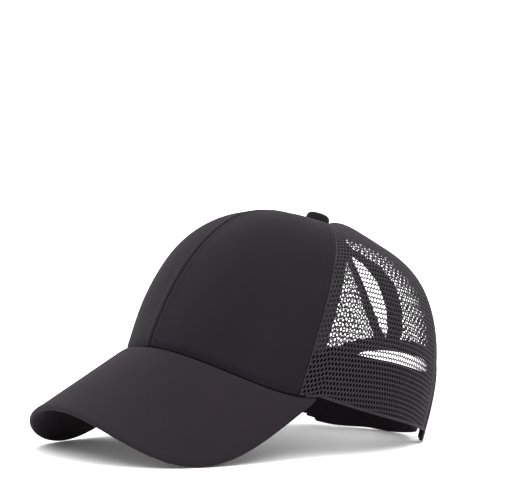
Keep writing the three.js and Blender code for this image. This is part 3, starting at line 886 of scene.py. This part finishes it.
def net_cell(net, place):
    """The strands round one hole: a ridge between holes that slopes down to the hole's edge."""
    sides = 2 * len(NET_RING["up"])
    cell = primitive("circle", vertices=sides, radius=1, fill_type="NOTHING")
    bpy.ops.object.mode_set(mode="EDIT")
    for _ in range(2):
        bpy.ops.mesh.extrude_edges_move(TRANSFORM_OT_translate={"value": (0, 0, -1)})
    bpy.ops.object.mode_set(mode="OBJECT")
    across, up = (np.array(NET_RING[name] * 2, float) for name in ("across", "up"))
    half = np.arange(sides) >= sides // 2
    across, up = np.where(half, -across, across), np.where(half, -up, up)
    turned = np.radians(np.array(NET_RING["turn"] * 2)) + half * math.pi
    y = up * (net.row_pitch / 2 + net.zigzag * np.cos(2 * math.pi * across))
    ridge = net.strand / 2 * np.where(up == 0, 0.8, 1 + 0.22 * np.cos(4 * math.pi * across))
    points = np.zeros((3 * sides, 3))
    points[:sides] = np.stack((across * net.hole_pitch, y, ridge), 1)
    points[sides : 2 * sides, 0] = net.hole_width / 2 * np.cos(turned)
    points[sides : 2 * sides, 1] = net.hole_height / 2 * np.sin(turned)
    points[2 * sides :] = points[:sides] * (1, 1, -1)
    put_points(cell, points + place)
    return cell


def net_patch(name, net, half_width, low, high, lean):
    """A flat piece of net that covers a panel's pattern, with holes staggered from row to row."""
    patch = joined(net_cell(net, (0, 0, 0)), net_cell(net, (net.hole_pitch / 2, net.row_pitch, 0)))
    patch.name = patch.data.name = name
    reach = math.hypot(half_width, high - low) if lean else half_width
    across = int(2 * reach / net.hole_pitch) + 2
    pairs = int((2 * reach if lean else high - low) / (2 * net.row_pitch)) + 2
    for count, offset in ((across, (net.hole_pitch, 0, 0)), (pairs, (0, 2 * net.row_pitch, 0))):
        apply_modifier(
            patch, "ARRAY", count=count, use_relative_offset=False, use_constant_offset=True,
            constant_offset_displace=offset,
        )
    activate(patch)
    edit_all(
        (bpy.ops.mesh.remove_doubles, {"threshold": WELD}),
        (bpy.ops.mesh.normals_make_consistent, {"inside": False}),
    )
    close_border(patch)
    points = get_points(patch)
    middle = (points.min(0) + points.max(0)) / 2
    points[:, :2] -= middle[:2]
    x, y = points[:, 0], points[:, 1]
    x, y = (
        x + net.drift * np.sin(y / (9 * MM) + 1.4 * np.sin(x / (15 * MM))),
        y + net.drift * np.sin(x / (11 * MM) + 1.2 * np.sin(y / (13 * MM))),
    )
    c, s = math.cos(lean), math.sin(lean)
    put_points(patch, np.stack((x * c - y * s, x * s + y * c + (low + high) / 2, points[:, 2]), 1))
    return patch


def close_border(patch):
    """Closes the outer edge of a net patch between its upper and its lower face."""
    activate(patch)
    bpy.ops.object.mode_set(mode="EDIT")
    bpy.ops.mesh.select_mode(type="EDGE")
    bpy.ops.mesh.select_all(action="DESELECT")
    bpy.ops.mesh.select_non_manifold(extend=False)
    bpy.ops.mesh.bridge_edge_loops()
    bpy.ops.mesh.select_all(action="SELECT")
    bpy.ops.mesh.normals_make_consistent(inside=False)
    bpy.ops.mesh.select_mode(type="VERT")
    bpy.ops.object.mode_set(mode="OBJECT")


class Pattern:
    """Flat pattern of a panel: p sideways from its middle line and q up along it."""

    def __init__(self, form, start, end):
        self.form, self.start, self.end = form, start, end
        self.middle = float(start(1.0) + end(1.0)) / 2
        self.angles = np.linspace(0, math.pi / 2 - form.STEP, 400)
        line = form.on_crown(self.middle + 0 * self.angles, self.angles)
        steps = np.linalg.norm(np.diff(line, axis=0), axis=1)
        self.lengths = np.concatenate(([0], np.cumsum(steps)))
        self.metrics = form.metric(self.middle + 0 * self.angles, self.angles)

    def flat(self, azimuth, angle):
        p = (azimuth - self.middle) * np.interp(angle, self.angles, self.metrics)
        return np.stack((p, np.interp(angle, self.angles, self.lengths)), -1)

    def placed(self, p, q):
        angle = np.interp(q, self.lengths, self.angles)
        return self.middle + p / np.interp(q, self.lengths, self.metrics), angle


def cut_net(patch, outline, reach):
    """Cuts a flat patch to an outline, by a prism through it."""
    prism = primitive("circle", vertices=len(outline), fill_type="NGON")
    put_points(prism, np.column_stack((outline, np.zeros(len(outline)))))
    apply_modifier(prism, "SOLIDIFY", thickness=reach, offset=0)
    turn_out(prism)
    apply_modifier(patch, "BOOLEAN", operation="INTERSECT", object=prism, solver="MANIFOLD")
    bpy.data.objects.remove(prism)


def net_panel(name, scene, pattern, outline, lean=0.0, sag=0.0, sag_from=0.0, puff=0.0):
    """Net cut to a panel's outline and laid on the crown."""
    net, form = scene.cap_net, pattern.form
    wide = np.abs(outline[:, 0]).max() + 2 * net.hole_pitch
    sunk = sag * ((wide + abs(sag_from)) / SAG_SPAN) ** 2
    patch = net_patch(name, net, wide, outline[:, 1].min(), outline[:, 1].max() + sunk, lean)
    points = get_points(patch)
    points[:, 1] -= sag * ((points[:, 0] - sag_from) / SAG_SPAN) ** 2
    put_points(patch, points)
    cut_net(patch, outline, 3 * net.strand)
    p, q, w = get_points(patch).T
    azimuth, angle = pattern.placed(p, q)
    start, end = pattern.start(angle), pattern.end(angle)
    azimuth = np.clip(azimuth, start, end)
    put_cloth(patch, p, q)
    metric = form.metric(azimuth, angle)
    near = np.minimum(azimuth - start, end - azimuth) * metric
    dip = 0.5 * MM * hump(near, 2 * MM)
    flat = form.crown_point(azimuth, angle)
    sway = ripple(flat, 26 * MM, 2.3) * 0.4 * MM * ease(near, 2 * MM, 14 * MM)
    stand = puff * hump(azimuth - math.radians(85), math.radians(17)) * ease(near, 0, 6 * MM)
    stand = stand * hump(angle - math.radians(72), math.radians(13))
    put_points(patch, form.rest(form.crown_point(azimuth, angle, w - net.depth - dip + sway + stand)))
    smooth(patch, 80)
    return patch


def net_roll(name, scene, seam, side, foot, sunk=0.0):
    """The rolled edge of a net panel along a seam, knobbly where it folds over the strands."""
    form, net = CapForm(scene), scene.cap_net

    def place(u, v):
        top = form.angle_at_radius(seam(1.5 + 0 * v), NET_TOP)
        angle = mix(foot, top, v)
        azimuth = seam(angle)
        length = angle * form.crown.height
        radius = net.roll * (1 + 0.16 * np.sin(2 * math.pi * length / net.row_pitch))
        turned = 2 * math.pi * u
        metric = form.metric(azimuth, angle)
        shift = side * (net.roll * 1.25) + radius * np.cos(turned)
        lift = radius * np.sin(turned) * 0.8 - net.roll * 0.75 - sunk
        points = form.crown_point(azimuth + shift / metric, angle, lift)
        return form.rest(points), shift, length

    return sleeve(name, 8, 180, place)


def seam_line(form, seam, foot):
    """Azimuths and angles along a seam, from its foot to the net's end at the top."""
    angle = np.linspace(foot, form.angle_at_radius(seam(np.array(1.5)), NET_TOP), 60)
    return seam(angle), angle


def side_nets(scene):
    form, crown, net = CapForm(scene), scene.cap_crown, scene.cap_net
    pattern = Pattern(form, form.front_seam_at, form.rear_seam_at)
    foot = RIM_FOLD / crown.height
    inset = 0.3 * MM
    up = pattern.flat(*seam_line(form, form.rear_seam_at, foot)) - (inset, 0)
    down = pattern.flat(*seam_line(form, form.front_seam_at, foot))[::-1] + (inset, 0)
    left = net_panel(
        "side_net_left", scene, pattern, np.concatenate((up, down)), sag=net.sag, puff=net.puff,
        sag_from=pattern.flat(net.sag_from, 0)[0],
    )
    rolls = [
        net_roll("roll_front", scene, form.front_seam_at, 1, foot, sunk=0.8 * MM),
        net_roll("roll_rear", scene, form.rear_seam_at, -1, foot),
    ]
    put_pair(joined(left, *rolls), net_yarn(scene.cap_colours.net), "net", "side_net_panel")


def back_nets(scene):
    form, crown, back = CapForm(scene), scene.cap_crown, scene.cap_back
    pattern = Pattern(form, form.rear_seam_at, form.back_seam_at)
    foot = RIM_FOLD / crown.height
    inset = 0.3 * MM
    up = pattern.flat(*seam_line(form, form.back_seam_at, 0)) - (inset, 0)
    seam = pattern.flat(*seam_line(form, form.rear_seam_at, foot)) + (inset, 0)
    # Down the middle of the slit's binding, then round the middle of the arch's binding
    rise = np.linspace(1, 0, 30)
    slit_x, slit_height = form.slit_binding_at(0.45, rise)
    arch_angle = np.linspace(math.pi / 2, 0, 200)
    arch_x, arch_height = form.arch_outline(arch_angle, 0.5 * back.arch_binding)
    outside = arch_x > slit_x[-1]
    azimuth, angle = form.back_place(
        np.concatenate((slit_x, arch_x[outside])), np.concatenate((slit_height, arch_height[outside]))
    )
    openings = pattern.flat(azimuth, np.maximum(angle, foot))
    above = up[up[:, 1] > openings[0, 1] + MM][::-1]
    outline = np.concatenate((above, openings, seam))
    left = net_panel("back_net_left", scene, pattern, outline, -scene.cap_net.lean)
    slit_end = pattern.placed(*openings[0])[1]
    rolls = [
        net_roll("roll_rear", scene, form.rear_seam_at, 1, foot),
        net_roll("roll_back", scene, form.back_seam_at, -1, float(slit_end)),
    ]
    put_pair(joined(left, *rolls), net_yarn(scene.cap_colours.net), "net", "back_net_panel")


# Bindings and tapes


def fold_section(u, width, thick, ply):
    """Section of a tape folded over an edge: from its outer lip round the fold to its inner lip.
    Gives the distance from the fold, the offset from its middle and the length along the tape."""
    radius = (thick - ply) / 2
    straight = width - thick / 2
    length = 2 * straight + math.pi * radius
    s = u * length
    bend = np.clip((s - straight) / radius, 0, math.pi)
    inner = np.maximum(s - straight - math.pi * radius, 0)
    from_fold = np.where(s < straight, width - s, thick / 2 - radius * np.sin(bend))
    from_fold = np.where(inner > 0, thick / 2 + inner, from_fold)
    return from_fold, radius * np.cos(bend), s


def binding(name, scene, columns, rows, edge_place, width):
    """A tape folded over the net along an opening. From the distance across the tape and the place
    along it, edge_place gives azimuth, angle, length along the tape and how far it hangs."""
    form, back = CapForm(scene), scene.cap_back
    middle = -scene.cap_net.depth - 0.1 * MM

    def place(u, v):
        from_fold, offset, s = fold_section(u, width, back.binding_thick, back.ply)
        azimuth, angle, along, below = edge_place(from_fold, v)
        lip = hump(from_fold - width, 1.2 * MM)
        gather = np.sin(along / (0.9 * MM) + 2.2 * np.sin(along / (6 * MM)))
        pinch = offset * (1 - 0.32 * lip) + np.sign(offset) * 0.07 * MM * gather * ease(from_fold, 0, width)
        points = form.crown_point(azimuth, angle, middle + pinch)
        points[..., 2] -= below
        return form.rest(points), s, along

    return folded_tape(name, columns, rows, place, back.ply)


def bindings(scene):
    form, back = CapForm(scene), scene.cap_back
    tape = woven_tape("binding_tape", scene.cap_colours.tape, rib=0.62 * MM)
    thread = sewing_thread(scene.cap_colours.thread)
    arch_length, slit_length = 165 * MM, 62 * MM
    feet = 0.03  # share of the arch's tape, at each end, that hangs below the rim

    def on_arch(from_fold, v):
        angle = math.pi * mix(1 + feet, -feet, v)
        past_foot = np.maximum(-angle, back.far_foot * (angle - math.pi)) / (math.pi * feet)
        x, height = form.arch_outline(np.clip(angle, 0, math.pi), back.arch_binding - from_fold)
        azimuth, angle = form.back_place(x, np.maximum(height, 0.4 * MM))
        return azimuth, angle, v * arch_length, np.maximum(past_foot, 0) * back.arch_foot

    def on_slit(from_fold, v):
        x, height = form.slit_binding_at(from_fold / back.slit_binding, v)
        return (*form.back_place(x, height), v * slit_length, 0)

    arch = binding("arch_tape", scene, 26, 150, on_arch, back.arch_binding)
    put_on(arch, tape, "tape", "arch_binding")
    slit = binding("slit_tape_left", scene, 28, 70, on_slit, back.slit_binding)
    put_pair(slit, tape, "tape", "slit_binding")

    surface = back.binding_thick / 2 - scene.cap_net.depth - 0.35 * MM
    v = np.linspace(0.035, 0.965, 160)
    azimuth, angle, *_ = on_arch(back.arch_binding - 1.3 * MM + 0 * v, v)
    rows = [crown_row(form, "arch_stitches", azimuth, angle, surface)]
    for sign in (1, -1):
        v = np.linspace(0.03, 0.97, 60)
        azimuth, angle, *_ = on_slit(back.slit_binding - 1.4 * MM + 0 * v, v)
        rows.append(crown_row(form, f"slit_stitches_{sign}", sign * azimuth, angle, surface))
    stitches = joined(*rows)
    stitches.name = stitches.data.name = "binding_stitches"
    put_on(stitches, thread, "tape")


def seam_tape(name, scene, seam, width, foot_height, depths):
    """A tape behind a seam, up to near the top. depths are those of its two long edges."""
    form = CapForm(scene)

    def place(u, v):
        beside = (u - 0.5) * width
        start = seam(0.3 + 0 * u)
        start = start + beside / form.metric(start, 0.3 + 0 * u)
        foot = form.angle_at_height(start, foot_height(start))
        top = form.angle_at_radius(seam(1.5 + 0 * u), width * 1.2)
        angle = mix(foot, top, v)
        at = seam(angle) + beside / form.metric(seam(angle), angle)
        depth = mix(depths[0], depths[1], ease(u, 0.3, 0.7))
        length = angle * form.crown.height
        wave = 0.12 * MM * np.sin(length / (2.1 * MM)) * np.abs(u - 0.5) * 2
        return form.rest(form.crown_point(at, angle, -depth + wave)), beside, length

    return sheet(name, 12, 110, place, scene.cap_trim.tape, bevel=0.15 * MM)


def tapes(scene):
    form, crown, trim = CapForm(scene), scene.cap_crown, scene.cap_trim
    tape = woven_tape("seam_tape", scene.cap_colours.tape, rib=1.0 * MM)

    behind_band = 3.5 * MM  # how far a tape's foot reaches down behind the sweatband

    def over_band(azimuth):
        return form.rim_height(azimuth) + form.band_top(azimuth) - behind_band

    def over_slit(azimuth):
        return form.slit_top - 1.2 * MM + 0 * azimuth

    net_side, twill_side = 1.25 * MM, crown.cloth + 0.35 * MM
    for name, seam, depth in (
        ("front", form.front_seam_at, twill_side),
        ("rear", form.rear_seam_at, net_side),
    ):
        left = seam_tape(f"{name}_tape_left", scene, seam, trim.tape_width, over_band, (depth, net_side))
        put_pair(left, tape, "tape", f"{name}_seam_tape")
    width, depths = trim.rear_tape_width, (net_side, net_side)
    centre = seam_tape("centre_back_strip", scene, form.back_seam_at, width, over_slit, depths)
    put_on(centre, tape, "tape", "centre_back_tape")


# Sweatband and straps


def sweatband(scene):
    form, crown, trim = CapForm(scene), scene.cap_crown, scene.cap_trim

    def place(u, v):
        azimuth = mix(-trim.band_short, trim.band_reach, u)
        height = mix(0.5 * MM, form.band_top(azimuth), v)
        past_twill = ease(np.abs(azimuth), crown.front_seam, crown.front_seam + 0.1)
        low = mix(crown.cloth + 0.25 * MM, 1.35 * MM, past_twill)
        depth = mix(low, trim.band_depth, ease(v, 0, 0.6))
        along = azimuth * crown.half_width
        wave = np.sin(along / (11 * MM) + 2 * np.sin(along / (43 * MM))) * 0.5 * MM * ease(v, 0.3, 1)
        angle = form.angle_at_height(azimuth, form.rim_height(azimuth) + height)
        points = form.crown_point(azimuth, angle, -depth - wave * 0.5 - 0.3 * MM)
        tab = ease(np.degrees(azimuth), 137, 141) * (1 - ease(v, 0, 0.3))
        points[..., 2] -= trim.band_tab * tab
        return form.rest(points), along, height

    band = sheet("sweatband_cotton", 260, 16, place, trim.band, bevel=0.4 * MM)
    put_on(band, brushed_cotton("sweatband", scene.cap_colours.band), "sweatband_cloth", "sweatband")


def rim_folds(scene):
    """The net's rim folded over itself, on each side from the front seam to the arch."""
    form, crown = CapForm(scene), scene.cap_crown
    leg = BACK - math.asin(scene.cap_back.arch_half_width / crown.half_width)
    ply, thick, width = 0.5 * MM, 1.5 * MM, 1.6 * MM

    def fold(sign):
        def place(u, v):
            azimuth = sign * mix(crown.front_seam + 0.04, leg + 0.02, v)
            from_fold, offset, s = fold_section(u, width, thick, ply)
            height = form.rim_height(azimuth) + 0.3 * MM + from_fold
            angle = form.angle_at_height(azimuth, height)
            points = form.crown_point(azimuth, angle, offset - 0.55 * MM)
            return form.rest(points), azimuth * crown.half_width, s

        return folded_tape(f"fold_{sign}", 14, 150, place, ply)

    rim = joined(fold(1), fold(-1))
    rim.name = rim.data.name = "rim_folds"
    put_on(rim, woven_tape("rim_fold", scene.cap_colours.net), "net")


def straps(scene):
    form, trim = CapForm(scene), scene.cap_trim
    material = loop_strap(scene.cap_colours.strap)
    corner = 7 * MM  # radius of a strap's free corners
    start, end = BACK - trim.strap_anchor, BACK + trim.strap_overlap

    def strap(name, right, depth):
        def place(u, v):
            # Columns crowd towards both ends
            azimuth = mix(start, end, u - 0.55 * np.sin(2 * math.pi * u) / (2 * math.pi))
            to_end = (end - azimuth) * form.crown.half_width
            round_off = 1 - np.clip((corner - to_end) / corner, 0, 1) ** 2
            narrow = 1 - (1 - np.sqrt(round_off)) * corner / (trim.strap_height / 2)
            height = trim.strap_height * (0.5 + (v - 0.5) * narrow) + 0.2 * MM
            hang = ease(np.degrees(azimuth), 141, 142.5) * (1 - ease(np.degrees(azimuth), 147, 172))
            azimuth = 2 * BACK - azimuth if right else azimuth
            angle = form.angle_at_height(azimuth, form.rim_height(azimuth) + height)
            twist = 0.35 * MM * np.sin(azimuth * 9) * (v - 0.5)
            points = form.crown_point(azimuth, angle, -depth + twist)
            points[..., 2] -= right * trim.strap_sag * hang * (1 - ease(v, 0, 0.6))
            return form.rest(points), azimuth * form.crown.half_width, height

        piece = sheet(f"strap_{name}", 90, 18, place, trim.strap, bevel=0.35 * MM)
        if right:
            turn_out(piece)
        put_on(piece, material, "strap", f"closure_strap_{name}")

    strap("left", False, trim.strap_depth)
    strap("right", True, trim.strap_depth + trim.strap + 0.5 * MM)


# Visor and button


def visor(scene):
    form, size_of = CapForm(scene), scene.cap_visor
    half = size_of.thick / 2
    top_columns, edge_columns = 30, 10
    columns = 2 * top_columns + edge_columns

    def place(u, v):
        part = size_of.blunt * (2 * v - 1)
        seam_side, seam_out, _ = form.seam_on_visor(form.corner * part)
        edge_side, edge_out = form.visor_outline(part)
        seam_out = seam_out - 0.5 * MM * np.cos(form.corner * part)
        # Round the section: out along the top, over the edge, and back along the underside
        column = u * columns
        turned = np.clip((column - top_columns) / edge_columns, 0, 1) * math.pi
        outward = np.clip(np.minimum(column, columns - column) / top_columns, 0, 1)
        span = np.hypot(edge_side - seam_side, edge_out - seam_out)
        lip = np.minimum(1.5 * MM, 0.45 * span) / span
        across = mix(1 - (1 - outward) ** 1.4, np.sin(turned), lip)
        level = np.cos(turned)
        swell = 0.22 * MM * hump((1 - across) * span - 3.4 * MM, 1.6 * MM)
        edge_groove = 0.35 * MM * hump(level, 0.16)
        tuck = size_of.tuck * hump(across * span - 0.6 * MM, 1.7 * MM)
        side, out = mix(seam_side, edge_side, across), mix(seam_out, edge_out, across)
        offset = level * (half + np.where(level > 0, swell - edge_groove - tuck, 0))
        return form.rest(form.visor_point(side, out, offset)), side, out

    piece = laid_grid("visor_cloth", columns, 150, place)
    close_section(piece)
    smooth(piece)
    put_on(piece, twill_cloth("visor_twill", scene.cap_colours.visor), "visor_twill", "visor")


def close_section(piece):
    """Closes the strip under the seam and both blunt corners of the visor."""
    activate(piece)
    edit_all(
        (bpy.ops.mesh.fill_holes, {"sides": 0}),
        (bpy.ops.mesh.quads_convert_to_tris, {"quad_method": "BEAUTY", "ngon_method": "BEAUTY"}),
        (bpy.ops.mesh.tris_convert_to_quads, {}),
        (bpy.ops.mesh.normals_make_consistent, {"inside": False}),
    )


BUTTON_SECTION = {  # shares of the button's radius and height, from its foot up over the top
    "out": (0.42, 0.85, 0.97, 1.0, 1.0, 0.975, 0.91, 0.76, 0.5, 0.25, 0.05),
    "up": (0.04, 0.04, 0.1, 0.26, 0.46, 0.65, 0.8, 0.91, 0.965, 0.99, 1.0),
}


def button(scene):
    form, trim = CapForm(scene), scene.cap_trim
    steps = len(BUTTON_SECTION["out"])

    def ring(turned, out, up):
        x, y = out * np.cos(turned), out * np.sin(turned) - form.crown.top_forward
        return form.rest(np.stack((x, y, form.crown.height + up), -1))

    def dome_place(u, v):
        turned = 2 * math.pi * u
        at = v * (steps - 1)
        out = np.interp(at, range(steps), BUTTON_SECTION["out"]) * trim.button
        up = np.interp(at, range(steps), BUTTON_SECTION["up"]) * trim.button_height
        pleat = hump(v - 0.25, 0.16) * 0.16 * MM * np.cos(12 * turned + np.sin(5 * turned))
        out = out + pleat
        return ring(turned, out, up), out * turned, out

    def shank_place(u, v):
        turned, radius, up = 2 * math.pi * u, 2.6 * MM, mix(-4 * MM, 0.4 * MM, v)
        return ring(turned, radius, up), radius * turned, up

    dome = joined(sleeve("button_cloth", 48, 30, dome_place), sleeve("shank", 16, 4, shank_place))
    put_on(dome, twill_cloth("button_twill", scene.cap_colours.twill), "front_twill", "button")


# Studio


def studio_air():
    """White backdrop whose light is softer from the camera's side, so that cloth keeps its dark tone."""
    world = bpy.data.worlds.new("studio_air")
    air = Nodes(world)
    to_camera = (math.sin(VIEW_AZIMUTH), -math.cos(VIEW_AZIMUTH), 0)
    ray = air.node("ShaderNodeTexCoord", output="Generated")
    facing = air.node("ShaderNodeVectorMath", {"operation": "DOT_PRODUCT"}, ray, to_camera, output="Value")
    settings = {"interpolation_type": "SMOOTHSTEP"}
    light = Num(air, air.node("ShaderNodeMapRange", settings, facing, -0.3, 0.8, 1.6, 0.8))
    seen = air.node("ShaderNodeLightPath", output="Is Camera Ray")
    background = air.tree.nodes["Background"].inputs
    air.feed(background["Color"], (1, 1, 1, 1))
    air.feed(background["Strength"], light.math("MAXIMUM", seen))
    return world


def studio(scene):
    """Camera at the photograph's angle, pale floor and soft light."""
    target = Vector(RIM_CENTRE) + Vector((0, 0, VIEW_RISE))
    back = Vector((
        math.sin(VIEW_AZIMUTH) * math.cos(VIEW_ELEVATION),
        -math.cos(VIEW_AZIMUTH) * math.cos(VIEW_ELEVATION),
        math.sin(VIEW_ELEVATION),
    ))
    right = Vector((math.cos(VIEW_AZIMUTH), math.sin(VIEW_AZIMUTH), 0))
    up = back.cross(right)

    def placed(name, data, place, aim):
        """A camera or a light at a place, looking at another."""
        thing = bpy.data.objects.new(name, data)
        bpy.context.collection.objects.link(thing)
        thing.location = place
        thing.rotation_mode = "QUATERNION"
        thing.rotation_quaternion = (aim - thing.location).to_track_quat("-Z", "Y")
        return thing

    camera = bpy.data.cameras.new("camera")
    camera.sensor_width, camera.lens, camera.clip_end = 36, LENS, 100
    aim = target - right * AIM_LEFT + up * AIM_UP
    scene.camera = placed("camera", camera, target + back * VIEW_DISTANCE, aim)
    scene.view_settings.view_transform = "Standard"

    floor = primitive("circle", vertices=64, radius=12, fill_type="NGON")
    floor.name = floor.data.name = "studio_floor"
    floor.data.materials.append(studio_floor(scene.cap_colours.floor))

    scene.world = studio_air()
    light = bpy.data.lights.new("top_light", "SUN")
    light.angle, light.energy = math.radians(75), 4.2
    placed("top_light", light, target + right * 0.05 + back * 0.5 + Vector((0, 0, 1)), target)


# Add-on


class CAP_OT_studio(bpy.types.Operator):
    """Sets up the camera, the floor and the light"""

    bl_idname = "cap.studio"
    bl_label = "Studio"

    def execute(self, context):
        studio(context.scene)
        return {"FINISHED"}


class CAP_OT_front(bpy.types.Operator):
    """Sews the two cloth front panels"""

    bl_idname = "cap.front"
    bl_label = "Front panels"

    def execute(self, context):
        front_panels(context.scene)
        return {"FINISHED"}


class CAP_OT_side_nets(bpy.types.Operator):
    """Cuts and lays the two side panels of net"""

    bl_idname = "cap.side_nets"
    bl_label = "Side nets"

    def execute(self, context):
        side_nets(context.scene)
        return {"FINISHED"}


class CAP_OT_back_nets(bpy.types.Operator):
    """Cuts and lays the two back panels of net, open at slit and arch"""

    bl_idname = "cap.back_nets"
    bl_label = "Back nets"

    def execute(self, context):
        back_nets(context.scene)
        return {"FINISHED"}


class CAP_OT_bindings(bpy.types.Operator):
    """Folds tape over the edges of slit and arch, with its stitches"""

    bl_idname = "cap.bindings"
    bl_label = "Bindings"

    def execute(self, context):
        bindings(context.scene)
        return {"FINISHED"}


class CAP_OT_tapes(bpy.types.Operator):
    """Lays the tapes behind the seams"""

    bl_idname = "cap.tapes"
    bl_label = "Seam tapes"

    def execute(self, context):
        tapes(context.scene)
        return {"FINISHED"}


class CAP_OT_sweatband(bpy.types.Operator):
    """Lines the rim with the sweatband and folds the net's edge"""

    bl_idname = "cap.sweatband"
    bl_label = "Sweatband"

    def execute(self, context):
        sweatband(context.scene)
        rim_folds(context.scene)
        return {"FINISHED"}


class CAP_OT_straps(bpy.types.Operator):
    """Adds the two closure straps"""

    bl_idname = "cap.straps"
    bl_label = "Straps"

    def execute(self, context):
        straps(context.scene)
        return {"FINISHED"}


class CAP_OT_visor(bpy.types.Operator):
    """Covers the bent visor"""

    bl_idname = "cap.visor"
    bl_label = "Visor"

    def execute(self, context):
        visor(context.scene)
        return {"FINISHED"}


class CAP_OT_button(bpy.types.Operator):
    """Covers the button on the top"""

    bl_idname = "cap.button"
    bl_label = "Button"

    def execute(self, context):
        button(context.scene)
        return {"FINISHED"}


OPERATORS = (
    CAP_OT_studio, CAP_OT_front, CAP_OT_side_nets, CAP_OT_back_nets, CAP_OT_bindings,
    CAP_OT_tapes, CAP_OT_sweatband, CAP_OT_straps, CAP_OT_visor, CAP_OT_button,
)


class CAP_PT_panel(bpy.types.Panel):
    """Lists the makers of the cap's pieces"""

    bl_label = "Ponytail cap"
    bl_idname = "CAP_PT_panel"
    bl_space_type = "VIEW_3D"
    bl_region_type = "UI"
    bl_category = "Cap"

    def draw(self, context):
        for operator in OPERATORS:
            self.layout.operator(operator.bl_idname)
        for name, group in SIZE_GROUPS.items():
            box = self.layout.box()
            box.label(text=group.__name__)
            for key in group.__annotations__:
                box.prop(getattr(context.scene, name), key)


def register():
    for name, group in SIZE_GROUPS.items():
        bpy.utils.register_class(group)
        setattr(bpy.types.Scene, name, bpy.props.PointerProperty(type=group))
    for cls in (*OPERATORS, CAP_PT_panel):
        bpy.utils.register_class(cls)


def unregister():
    for cls in reversed((*OPERATORS, CAP_PT_panel)):
        bpy.utils.unregister_class(cls)
    for name, group in SIZE_GROUPS.items():
        delattr(bpy.types.Scene, name)
        bpy.utils.unregister_class(group)


def main():
    register()
    for operator in OPERATORS:
        folder, name = operator.bl_idname.split(".")
        getattr(getattr(bpy.ops, folder), name)()


if __name__ == "__main__":
    main()
